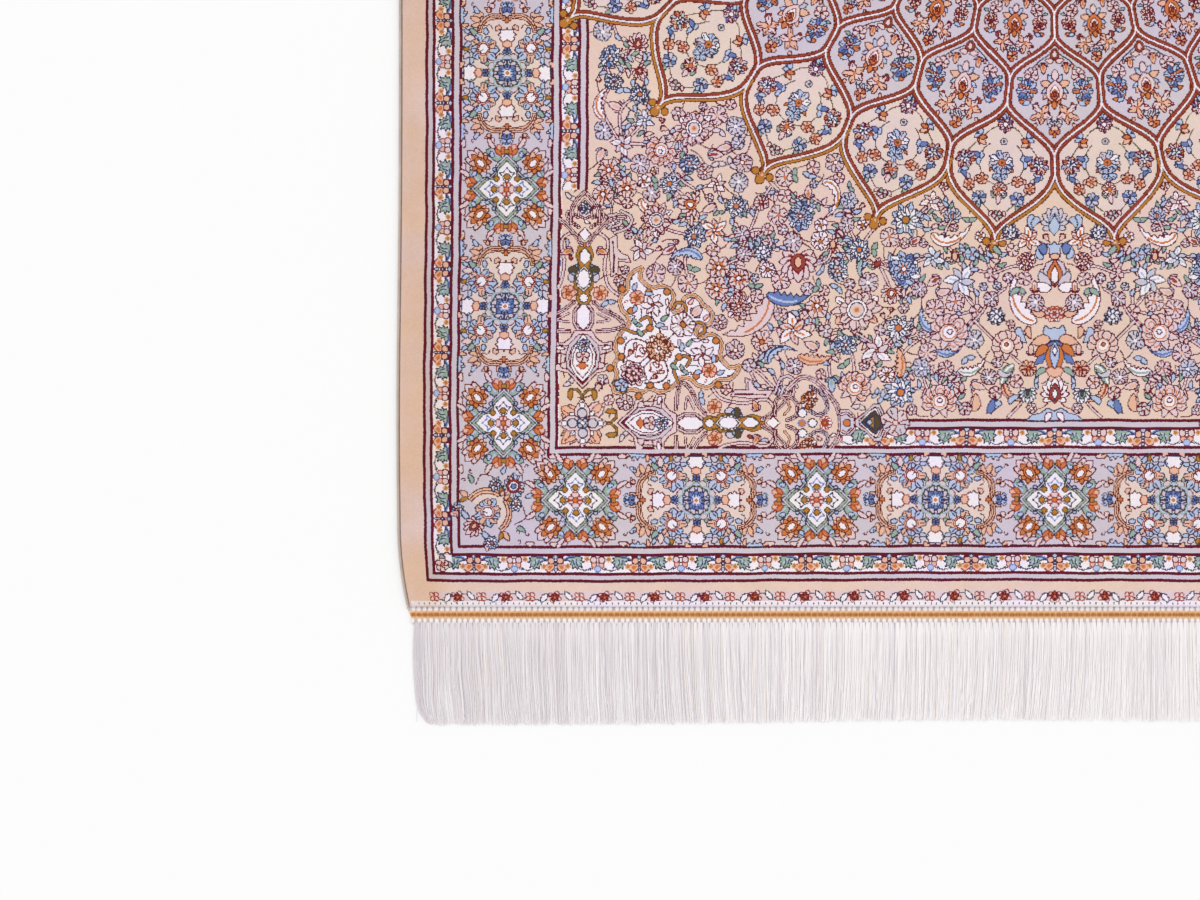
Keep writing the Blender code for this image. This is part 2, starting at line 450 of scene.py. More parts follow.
    def stem(self, *points: complex) -> None:
        """A stem through the points, drawn as two close lines."""
        self.band(smooth(*points), 1.6, BLUSH)

    def tuck(self, at: complex, reach: float, ground: Ink | int, pen: Callable[[], None]) -> None:
        """Lets a pen draw round a place, but only where the ground is still bare.

        Args:
            at: The place.
            reach: How far from it the pen draws.
            ground: The colour that counts as bare.
            pen: Draws what is tucked behind the rest.
        """
        rows, columns = (slice(max(int(middle - reach), 0), max(int(middle + reach) + 2, 0))
                         for middle in (at.imag, at.real))
        before = self.knots[rows, columns].copy()
        pen()
        self.knots[rows, columns] = np.where(before == ground, self.knots[rows, columns], before)

    # spreading the work over the rug
    def draw(self, kind: Kind, at: complex, size: float, silks: Silks, turn: float = 3.1) -> None:
        """Draws one flower of a kind: its middle, its reach, its silks and the way it faces."""
        getattr(self, kind.value)(at, size, silks, turn)

    def sprig(self, at: complex, size: float, silks: Silks, pick: int, turn: float) -> None:
        """One small thing of a filled ground, by its size and a pick: a curl, a leaf or a flower."""
        bent, out = 1 if pick % 2 else -1, np.exp(1j * turn)
        if size < 3.2:
            self.line(curl(at - size * out, 0.7 * size, turn, bent), silks.edge)
            return
        if size < 4.3:
            ink = (BLUSH, SKY, IVORY, silks.inner)[pick % 4]
            self.leaf(at - size * out, 2.0 * size, turn, ink, 0.9 * bent, edge=silks.edge)
            return
        self.line(at + size * out * np.linspace(1, 3.2, 9) * np.exp(0.5j * bent * np.linspace(0, 1, 9)),
                  silks.edge)
        if pick < 5:
            self.floret(at, size, silks, turn)
        elif pick < 8:
            ink = (SKY, GREEN, silks.petal)[pick - 5]
            for side in (0.6, -0.6):
                self.leaf(at - 0.7 * size * out, min(1.6 * size, 9), turn + side, ink, 0.8 * side, 0.3, SLATE)
        elif pick < 10:
            self.blossom(at, size, silks, turn)
        else:
            self.bud(at, 0.9 * size, silks, turn)

    def scatter(self, ground: Ink | int, area: tuple[int, int, int, int], sizes: Sequence[float], tries: int,
                seed: int, kinds: Sequence[Silks] = SMALL_SILKS, bare: float = 0.8) -> None:
        """Fills bare ground with small flowers, leaves and tendrils, the large ones first.

        Args:
            ground: The colour that counts as bare.
            area: The lowest column and row, then the highest.
            sizes: Reaches to try, in order.
            tries: How many places are tried for each reach.
            seed: Fixes the choice.
            kinds: The silks to choose from.
            bare: How much of the room for one has to be bare; the rest of it is tucked behind what is there.
        """
        draw = np.random.default_rng(seed)
        for size in sizes:
            reach = math.ceil(size)
            for _ in range(tries):
                column = int(draw.integers(area[0] + reach, area[2] - reach))
                row = int(draw.integers(area[1] + reach, area[3] - reach))
                pick, turn = int(draw.integers(0, 12)), float(draw.uniform(0, 2 * math.pi))
                around = self.knots[row - reach : row + reach + 1, column - reach : column + reach + 1]
                if around[reach, reach] != ground or (around == ground).mean() < bare:
                    continue
                at = complex(column + 0.5, row + 0.5)
                pen = partial(self.sprig, at, size, kinds[pick % len(kinds)], pick, turn)
                self.tuck(at, 3.4 * size, ground, pen)

    def unfold(self) -> Chart:
        """The four quarters that this one stands for, mirrored about both axes."""
        half = np.concatenate([self.knots[:, ::-1], self.knots], axis=1)
        return Chart(np.concatenate([half[::-1], half], axis=0))

    def paste(self, tile: Chart, column: float, row: float) -> None:
        """Sets a tile's knots round a place, where the tile isn't empty."""
        high, wide = tile.knots.shape
        left, low = round(column - wide / 2), round(row - high / 2)
        rows, columns = self.knots.shape
        i0, i1 = max(-low, 0), min(high, rows - low)
        j0, j1 = max(-left, 0), min(wide, columns - left)
        if i0 < i1 and j0 < j1:
            part = tile.knots[i0:i1, j0:j1]
            target = self.knots[low + i0 : low + i1, left + j0 : left + j1]
            target[part != EMPTY] = part[part != EMPTY]


# ---------------------------------------------------------------- the cartoon: one quarter of the rug


FIELD_FLOWERS = (  # kind, middle, reach, silks and, where it matters, which way it faces
    (STAR, 319 + 601j, 12, BLUEBELL), (BLOSSOM, 294 + 597j, 8, GARNET, 2.4),
    (FLORET, 270 + 591j, 7, ROSE, 2.8), (BUD, 247 + 589j, 8, FLAME, -1.6),
    (ROSETTE, 255 + 611j, 14, BLUEBELL), (BLOSSOM, 206 + 596j, 9, HAZE),
    (FLORET, 313 + 629j, 8, VIOLET), (FLORET, 287 + 625j, 6, ROSE, 2.3),
    (LILY, 341 + 625j, 15, FLAME, 1.4), (FLORET, 208 + 620j, 8, VIOLET, 2.6),
    (STAR, 196 + 645j, 13, BLUEBELL, 2.8), (TULIP, 222 + 640j, 10, ROSE, -1.6),
    (PALMETTE, 257 + 655j, 23, GARNET, 1.6), (ROSETTE, 217 + 666j, 11, FROST),
    (STAR, 292 + 647j, 10, HAZE, 3.0), (FLORET, 312 + 649j, 8, VIOLET, 2.1),
    (STAR, 149 + 615j, 17, MOSS), (LILY, 124 + 597j, 12, VIOLET, -2.1),
    (PALMETTE, 103 + 612j, 11, FROST, -1.7), (ROSETTE, 151 + 664j, 17, BLUEBELL),
    (LILY, 122 + 653j, 13, HAZE, -1.6), (TULIP, 100 + 651j, 10, ROSE, 1.6),
    (FLORET, 83 + 650j, 7, BLUEBELL), (TULIP, 178 + 659j, 9, GARNET, -2.6),
    (PALMETTE, 163 + 687j, 13, FLAME, 1.4), (FLORET, 135 + 685j, 8, VIOLET),
    (LILY, 94 + 676j, 18, HAZE, -2.4), (FULL_ROSE, 198 + 705j, 24, ROSE),
    (BLOSSOM, 238 + 701j, 12, FLAME), (ROSETTE, 316 + 701j, 14, ROSE),
    (BLOSSOM, 336 + 663j, 12, FLAME), (BLOSSOM, 316 + 673j, 11, FLAME, 2.6),
    (BLOSSOM, 338 + 684j, 12, FLAME, 2.1), (LILY, 261 + 725j, 19, FLAME, -1.6),
    (FLORET, 229 + 726j, 7, VIOLET), (ROSETTE, 209 + 740j, 11, BLUEBELL),
    (LILY, 178 + 746j, 17, GHOST, -1.9), (STAR, 156 + 723j, 15, FROST),
    (PEONY, 106 + 728j, 20, FLAME, -2.4), (BLOSSOM, 293 + 737j, 11, ROSE),
    (FLORET, 306 + 760j, 7, VIOLET), (BUD, 223 + 778j, 9, MOSS, 1.6),
    (PEONY, 200 + 783j, 17, FLAME, -2.1), (STAR, 154 + 788j, 17, BLUEBELL, 3.0),
    (BLOSSOM, 133 + 764j, 10, HAZE), (FLORET, 108 + 764j, 8, ROSE),
    (PEONY, 115 + 797j, 18, FLAME, -1.6), (BUD, 93 + 784j, 6, VIOLET, -1.6),
    (ROSETTE, 446 + 451j, 11, BLUEBELL), (PALMETTE, 418 + 440j, 13, GARNET, -1.7),
    (PALMETTE, 417 + 465j, 10, GARNET, 2.1), (ROSETTE, 442 + 477j, 9, FROST),
    (STAR, 416 + 489j, 11, BLUEBELL), (LILY, 433 + 540j, 13, GHOST, -2.6),
    (LILY, 411 + 515j, 11, HAZE, 2.4), (PEONY, 394 + 545j, 16, FLAME, 1.0),
    (FULL_ROSE, 362 + 523j, 19, ROSE), (BLOSSOM, 447 + 565j, 11, FLAME),
    (BLOSSOM, 428 + 583j, 11, FLAME, 2.6), (BLOSSOM, 452 + 589j, 11, FLAME, 2.1),
    (STAR, 386 + 579j, 12, FROST), (ROSETTE, 366 + 558j, 10, BLUEBELL),
    (LILY, 338 + 579j, 11, VIOLET, -2.1), (PALMETTE, 364 + 600j, 15, FLAME, -0.3),
    (FULL_ROSE, 399 + 615j, 17, ROSE), (STAR, 361 + 631j, 12, BLUEBELL),
    (LILY, 414 + 645j, 13, GHOST, 2.8), (FLORET, 442 + 618j, 8, VIOLET),
    (TULIP, 444 + 413j, 12, ROSE, -1.6), (STAR, 454 + 383j, 14, MOSS),
    (BLOSSOM, 432 + 361j, 11, FLAME), (LILY, 456 + 343j, 14, GHOST, 2.1),
    (FLORET, 78 + 706j, 7, ROSE, 1.0), (BLOSSOM, 131 + 732j, 7, VIOLET, 0.4),
    (FLORET, 63 + 669j, 7, GARNET, 0.2), (BUD, 62 + 636j, 7, ROSE, 0.3),
    (FLORET, 275 + 786j, 6, HAZE, 0.3),
)
FIELD_PLUMES = (  # foot, length, direction, silk, spine and how far it curls
    (233 + 579j, 36, 3.8, IVORY, GOLD, -2.3), (122 + 627j, 40, -4.5, IVORY, ORANGE, 1.6),
    (287 + 691j, 60, 1.8, BLUSH, ORANGE, -1.1), (288 + 689j, 42, 2.4, BLUE, SKY, 0.7),
    (256 + 750j, 34, 2.3, SALMON, ORANGE, 0.8), (155 + 773j, 31, -2.0, SALMON, ORANGE, 0.5),
    (96 + 765j, 30, -3.9, IVORY, GREEN, 1.2), (118 + 745j, 26, -4.0, SKY, BLUE, 1.0),
    (120 + 725j, 27, 0.1, SKY, BLUE, -1.2), (193 + 655j, 18, 0.8, SKY, GREEN, 0.8),
    (286 + 759j, 31, -1.1, SKY, SLATE, -1.6), (414 + 593j, 31, 1.3, IVORY, ORANGE, 1.4),
    (451 + 513j, 32, -0.4, IVORY, ORANGE, -1.3), (354 + 655j, 32, -1.3, SKY, BLUE, 1.3),
)
FIELD_STEMS = (
    (313 + 643j, 302 + 618j, 294 + 597j, 282 + 578j), (313 + 629j, 294 + 625j, 284 + 638j, 292 + 647j),
    (198 + 729j, 184 + 738j, 178 + 746j), (222 + 640j, 228 + 655j, 242 + 661j),
    (196 + 645j, 185 + 629j, 174 + 619j), (208 + 620j, 202 + 631j, 196 + 645j),
    (178 + 655j, 169 + 673j, 163 + 687j), (151 + 664j, 164 + 665j, 178 + 659j),
    (135 + 685j, 142 + 676j, 151 + 664j), (94 + 676j, 88 + 693j, 79 + 703j),
    (209 + 740j, 201 + 755j, 200 + 783j), (133 + 764j, 128 + 783j, 115 + 797j),
    (154 + 788j, 158 + 763j, 149 + 745j, 133 + 733j), (108 + 764j, 116 + 781j, 115 + 797j),
    (306 + 760j, 294 + 769j, 283 + 781j, 276 + 785j), (270 + 591j, 279 + 583j, 289 + 573j),
    (442 + 477j, 450 + 489j, 452 + 507j, 442 + 527j, 433 + 540j), (433 + 540j, 424 + 530j, 411 + 515j),
    (433 + 540j, 414 + 539j, 394 + 545j), (417 + 489j, 432 + 501j, 436 + 515j, 433 + 540j),
    (394 + 545j, 384 + 565j, 374 + 575j, 362 + 583j), (447 + 565j, 438 + 577j, 428 + 583j),
    (386 + 579j, 374 + 589j, 364 + 600j), (364 + 600j, 364 + 619j, 361 + 631j),
    (399 + 615j, 386 + 625j, 361 + 631j), (414 + 645j, 406 + 629j, 399 + 615j),
    (367 + 643j, 370 + 655j, 368 + 668j), (316 + 673j, 326 + 669j, 336 + 663j),
    (316 + 701j, 326 + 693j, 338 + 684j), (292 + 647j, 306 + 651j, 319 + 655j, 336 + 663j),
    (124 + 597j, 134 + 607j, 149 + 615j), (122 + 653j, 134 + 655j, 151 + 664j),
    (156 + 723j, 169 + 738j, 178 + 746j), (261 + 725j, 248 + 711j, 238 + 701j),
    (417 + 440j, 432 + 447j, 446 + 451j), (446 + 451j, 448 + 465j, 442 + 477j),
)


@dataclass
class Field:
    """The peach ground between the medallion and the borders, strewn with flowers on fine stems."""

    nearest: int = 2  # how many neighbours each flower's stems lead to
    longest: float = 74.0

    def vines(self, chart: Chart) -> None:
        """Leads a leafy stem from each flower to its nearest neighbours."""
        spots = np.array([flower[1] for flower in FIELD_FLOWERS])
        for i, start in enumerate(spots):
            away, bend = np.abs(spots - start), 0.22 if i % 2 else -0.22
            for end in spots[np.argsort(away)[1 : 1 + self.nearest]]:
                span = end - start
                if abs(span) > self.longest:
                    continue
                path = smooth(start, start + span * (0.5 + 1j * bend), end, steps=8)
                chart.stem(*path[::4])
                for share, side, ink in ((0.42, 1, SKY), (0.58, -1, BLUSH), (0.7, 1, GREEN)):
                    turn = float(np.angle(span)) + math.copysign(0.9, bend) * side
                    chart.leaf(path[int(share * (len(path) - 1))], 9, turn, ink, 0.8 * side)

    def draw(self, chart: Chart) -> None:
        """Draws the stems, the leaves and the flowers."""
        self.vines(chart)
        each(chart.stem, FIELD_STEMS)
        each(chart.plume, FIELD_PLUMES)
        each(chart.draw, FIELD_FLOWERS)

    def fill_ground(self, chart: Chart) -> None:
        """Fills the ground that everything else left bare."""
        area = (2, 2, FIELD_COLUMNS - 3, FIELD_ROWS - 3)
        chart.scatter(PEACH, area, (10, 8.5, 7, 5.5, 4.4), 8000, 5, bare=0.84)


@dataclass
class Spandrel:
    """The inner corner: a cross tile, a jewelled band down each way from it, and a white cloud between.

    A place here is measured from the tile's middle: x along the band towards the rug's middle, y away from
    the guard border. The drawing is one half, which is mirrored about the diagonal.
    """

    tile_at: complex = 470.5 + 818j  # in knots from the rug's middle
    size: int = 366
    margin: int = 26
    guard_room: float = 22.5  # from the tile's middle to the line it stands on
    band_end: float = 256.0  # where the guard border comes back beside the band
    band_last: float = 322.0
    arch_end: float = 233.0  # where the shorter band down the side stops

    def pair(self, q: Chart, ink: Ink, edge: Ink, *half: complex) -> None:
        """A shape on the band's axis, from its half, with a second line inside a large one."""
        outline = mirrored(*half)
        q.shape(outline, ink, edge)
        if np.ptp(outline.imag) > 15:
            q.line(outline.mean() + 0.8 * (outline - outline.mean()), edge, closed=True)

    def ribbon(self, q: Chart, width: float, *points: complex, ink: Ink = BLUSH) -> None:
        """A ribbon through the points, and its twin on the other side of the axis."""
        for pen in q.sides():
            pen.band(smooth(*points), width, ink)
            if width > 2:
                pen.line(smooth(*points), WINE)

    def cross_tile(self, q: Chart) -> None:
        """Pale discs in a cross between leaves on the diagonals."""
        for turn, reach, ink, edge in (
            (0.25, 25, SALMON, SLATE), (-0.25, 25, BLUSH, WINE), (0.0, 29, SALMON, MADDER),
            (0.0, 18, IVORY, SLATE),
        ):
            q.whorl(0, reach, 4, petal(0.2, 1.0, 0.8), edge, ink, turn=math.pi / 4 + turn)
        for quarter in (1, 1j, -1, -1j):
            arm = q.framed(unit=quarter)
            arm.shape(mirrored(2 + 5j, 8 + 7.5j, 15 + 7j, 19.5 + 4j, 26), BLUSH)
            arm.disc(10, 4.8, LILAC)
            arm.disc(18, 3.0, IVORY, SLATE)
        q.whorl(0, 6, 4, petal(0.4, 0.8, 0.45), SLATE, SKY, turn=math.pi / 4)
        q.disc(0, 2.2, IVORY)
        for pen in q.sides():
            pen.band(smooth(25, 29 + 1.5j, 33.5 + 6j, 33 + 12j), 1.2, GOLD)
            pen.leaf(33.5 + 10j, 11, 2.5, GOLD, 0.5)

    def vase(self, q: Chart) -> None:
        """The first member of the band: a double-lined vase with a white lozenge in it."""
        self.pair(q, BLUSH, WINE, 34, 43 + 8j, 50 + 14j, 53 + 26j, 58 + 28j, 60 + 22j, 69 + 21j, 72 + 28j,
                  82 + 29j, 80 + 20j, 85 + 13j, 92 + 9j)
        self.pair(q, LILAC, WINE, 38, 47 + 8j, 55 + 15j, 68 + 17j, 79 + 14j, 88 + 5j)
        self.pair(q, IVORY, WINE, 40, 48 + 7j, 58 + 12j, 70 + 12j, 80 + 7j, 90)
        for pen in q.sides():
            pen.shape(74 + 18j + 9 * np.exp(1.3j) * petal(0.25, 0.8, 0.45), IVORY)
        self.pair(q, ORANGE, MADDER, 53, 57 + 5.5j, 61)
        q.floret(67, 6.5, ROSE, 0.0)
        q.star(77, 7, BLUEBELL)
        self.pair(q, BLUSH, WINE, 92 + 6j, 101 + 11j, 113 + 10j, 121 + 4j)
        self.pair(q, IVORY, WINE, 92, 101 + 7j, 113 + 6j, 121)

    def jewels(self, q: Chart) -> None:
        """The members after the vase: an olive-edged cartouche between florets, and a small lozenge."""
        self.pair(q, GOLD, OLIVE, 118 + 4j, 124 + 8j, 131 + 6j, 135 + 9j, 145 + 11j, 153 + 9j, 159 + 6j,
                  168 + 9j, 177 + 6j, 181)
        q.disc(125, 4.4, IVORY, OLIVE)
        self.pair(q, IVORY, OLIVE, 131, 136 + 6j, 144 + 8j, 152 + 6j, 157)
        self.pair(q, IVORY, OLIVE, 158, 163 + 5j, 169 + 5j, 176)
        for pen in q.sides():
            pen.blossom(130 + 16j, 7.5, EMBER, 0.3)
            for foot, turn, ink in ((142 + 9j, 1.2, LILAC), (148 + 9j, 0.7, GREEN), (151 + 15j, -0.6, OLIVE)):
                pen.leaf(foot, 11, turn, ink, -0.9, 0.3)
            pen.bud(172 + 16j, 7, CORAL, 2.0)
        self.ribbon(q, 2.6, 178 + 3j, 190 + 11j, 203 + 25j, 206 + 40j)
        self.pair(q, IVORY, WINE, 182, 189 + 6.5j, 196)

    def arabesques(self, q: Chart) -> None:
        """The pale ribbons that tie the band to the cloud."""
        self.ribbon(q, 2.6, 92 + 14j, 93 + 28j, 97 + 40j, 106 + 34j, 113 + 20j, 121 + 10j)
        self.ribbon(q, 1.0, 101 + 14j, 103 + 26j, 106 + 22j, 110 + 14j)
        self.ribbon(q, 2.0, 126 + 37j, 138 + 24j, 160 + 20j, 182 + 23j, 192 + 12j)
        q.line(smooth(142 + 12j, 148 + 24j, 148 + 40j), WINE)
        head = (146 + 27j, 150 + 33j, 162 + 34j, 160 + 46j, 167 + 43j, 170 + 36j, 174 + 33j, 188 + 32j,
                184 + 24j, 162 + 25j)
        q.shape(np.array(head), BLUSH)
        q.line([150 + 29j, 166 + 29j, 182 + 28j], WINE, 1.4)
        q.line([164 + 33j, 163 + 41j], WINE)
        for points in (
            (190 + 30j, 196 + 44j, 206 + 46j, 212 + 36j), (196 + 28j, 200 + 36j, 208 + 34j, 208 + 24j),
        ):
            q.band(smooth(*points), 2.0, LILAC, WINE)

    def cloud(self, q: Chart) -> None:
        """Half of the white cloud: the diagonal is its axis."""
        rim = smooth(30 + 32j, 38 + 30j, 48 + 34j, 58 + 31j, 66 + 35j, 75 + 31j, 85 + 34j, 93 + 40j, 97 + 45j,
                     107 + 44j, 112 + 39j, 120 + 36j, 127 + 37j, 134 + 43j, 145 + 44j, 152 + 50j, 155 + 57j,
                     147 + 55j, 140 + 60j, 135 + 68j, 137 + 77j, 133 + 85j, 125 + 89j, 117 + 86j, 111 + 91j,
                     115 + 98j, 124 + 99j, 128 + 107j, 124 + 114j, 117 + 119j)
        q.fill(mirrored(*rim, axis=math.pi / 4), IVORY)
        for width, ink in ((5.0, SLATE), (3.2, SALMON), (1.2, GOLD)):
            q.line(rim, ink, width)
        for points in ((94 + 40j, 90 + 52j, 92 + 62j, 99 + 67j, 106 + 64j, 103 + 57j),
                       (114 + 88j, 120 + 92j, 119 + 99j, 112 + 101j, 108 + 96j)):
            q.band(smooth(*points), 2.0, GOLD, SLATE)
        for spot in (
            40 + 33j, 66 + 38j, 82 + 37j, 112 + 47j, 134 + 38j, 131 + 64j, 131 + 82j, 95 + 66j, 55 + 27j,
        ):
            q.disc(spot, 3.3, ORANGE, OLIVE)
        for points in (
            (50 + 50j, 62 + 58j, 75 + 74j), (75 + 74j, 92 + 76j, 106 + 68j, 118 + 66j),
            (75 + 74j, 88 + 88j, 99 + 97j), (118 + 66j, 122 + 58j, 125 + 53j),
            (60 + 40j, 78 + 42j, 84 + 52j, 80 + 64j),
        ):
            q.line(smooth(*points), WINE, 1.4)
        q.shape(72 + 56j + 6.5 * lobed(5, 0.3), IVORY, MADDER)
        for spot, turn, ink in (
            (96 + 72j, 0.8, SKY), (101 + 78j, 0.2, GREEN), (88 + 60j, -1.4, GREEN), (128 + 60j, 0.9, SKY),
            (118 + 50j, 2.6, SKY), (132 + 50j, -0.3, SKY),
        ):
            q.leaf(spot, 9, turn, ink)
        q.rosette(75 + 75j, 14.5, Silks(SALMON, ORANGE, IVORY, RUST))
        q.rosette(50 + 50j, 13, PETAL_WHITE)
        q.floret(38 + 38j, 6.5, BLUEBELL, 0.0)
        q.blossom(99 + 98j, 11.5, PEARL, 0.0)
        q.bud(112 + 110j, 7, ROSE, 0.8)
        q.lily(118 + 68j, 13, PETAL_WHITE, 0.3)
        q.blossom(125 + 53j, 7.5, EMBER, 0.0)
        whole = Chart(q.knots)
        whole.scatter(IVORY, (50, 50, 182, 150), (4.6, 3.8, 2.8), 2600, 23, WARM_SILKS, 0.85)

    def long_end(self, q: Chart) -> None:
        """Where the band across the rug's end stops: rings, an onion of ribbons, a bell and a flower."""
        self.ribbon(q, 2.4, 191 + 8j, 192 + 22j, 202 + 27j, 212 + 20j, 212 + 8j, 203 + 3j)
        self.ribbon(q, 1.0, 200 + 8j, 205 + 15j, 203 + 24j, ink=SALMON)
        self.ribbon(q, 3.2, 203 + 34j, 216 + 45j, 230 + 42j, 243 + 30j, 252 + 18j, 256 + 4j)
        self.ribbon(q, 2.4, 226 + 36j, 238 + 28j, 243 + 14j, 234 + 8j, 226 + 12j, ink=LILAC)
        for pen in q.sides():
            pen.rosette(224 + 23j, 9, Silks(SALMON, ORANGE, GREEN, RUST))
            pen.disc(218 + 10j, 4.4, IVORY, SLATE)
        q.disc(228, 4.4, IVORY, SLATE)
        q.disc(217.5, 3.6, ORANGE, BLUE)
        q.palmette(239, 9, Silks(IVORY, MADDER, ORANGE, MADDER))
        self.pair(q, LILAC, WINE, 253 + 6j, 256 + 13j, 265 + 13j, 270 + 8j, 272)
        self.ribbon(q, 1.0, 256 + 8j, 262 + 10j, 267 + 6j)
        q.disc(262, 3.8, ORANGE, SLATE)
        self.pair(q, LILAC, WINE, 270 + 3j, 281 + 10j, 290 + 19j, 296 + 18j, 300 + 9j, 305 + 6j)
        self.pair(q, IVORY, WINE, 274, 286 + 12j, 292 + 15j, 296 + 7j, 303)
        self.pair(q, OLIVE, SLATE, 276, 285 + 8j, 291 + 11j, 297 + 5j, 298)
        self.pair(q, GOLD, SLATE, 280, 286 + 4j, 290 + 7j, 289)
        q.disc(285, 2.6, SKY)
        q.whorl(312, 15, 7, BROAD, WINE, LILAC, BLUSH)
        q.disc(311, 3.0, BLUSH, MADDER)

    def arch(self, q: Chart) -> None:
        """Where the shorter band down the side stops: an arch over a small flower."""
        self.ribbon(q, 2.2, 196 + 6j, 203 + 16j, 211 + 17j, 206 + 7j)
        self.ribbon(q, 2.6, 200 + 14j, 214 + 13j, 224 + 7j, 231)
        self.pair(q, BLUSH, WINE, 203, 207 + 7j, 217 + 8j, 225)
        q.rosette(215, 6, HAZE)

    def draw(self, rug: Chart) -> None:
        """Draws the corner and sets it into the rug."""
        across, shift = Chart.blank(self.size, self.size), self.margin * (1 + 1j)
        room, end, last, half = self.guard_room, self.band_end, self.band_last, 7j
        q = across.framed(shift)
        q.fill([-room - 1j * room, end - 1j * room, end + half, -room + half], PEACH)
        q.fill([end, last, last + half, end + half], PEACH)
        q.fill([end, last, last - half, end - half], IVORY)
        for part in (self.arabesques, self.vase, self.jewels, self.cross_tile, self.cloud):
            part(q)
        side = Chart(across.knots.copy())
        self.arch(side.framed(shift))
        side.knots[:, int(self.arch_end + self.margin) :] = EMPTY
        self.long_end(q)
        for chart in (across, side):
            chart.scatter(PEACH, (2, 4, self.size - 2, 70), (5.2, 4.2, 3.4), 3000, 29, (VIOLET, GARNET, ROSE),
                          0.82)
        columns, rows = np.meshgrid(np.arange(self.size), np.arange(self.size))
        corner = Chart(np.where(columns >= rows, across.knots, side.knots.T)[::-1, ::-1])
        middle = self.tile_at + shift - self.size / 2 * (1 + 1j)
        rug.paste(corner, middle.real, middle.imag)


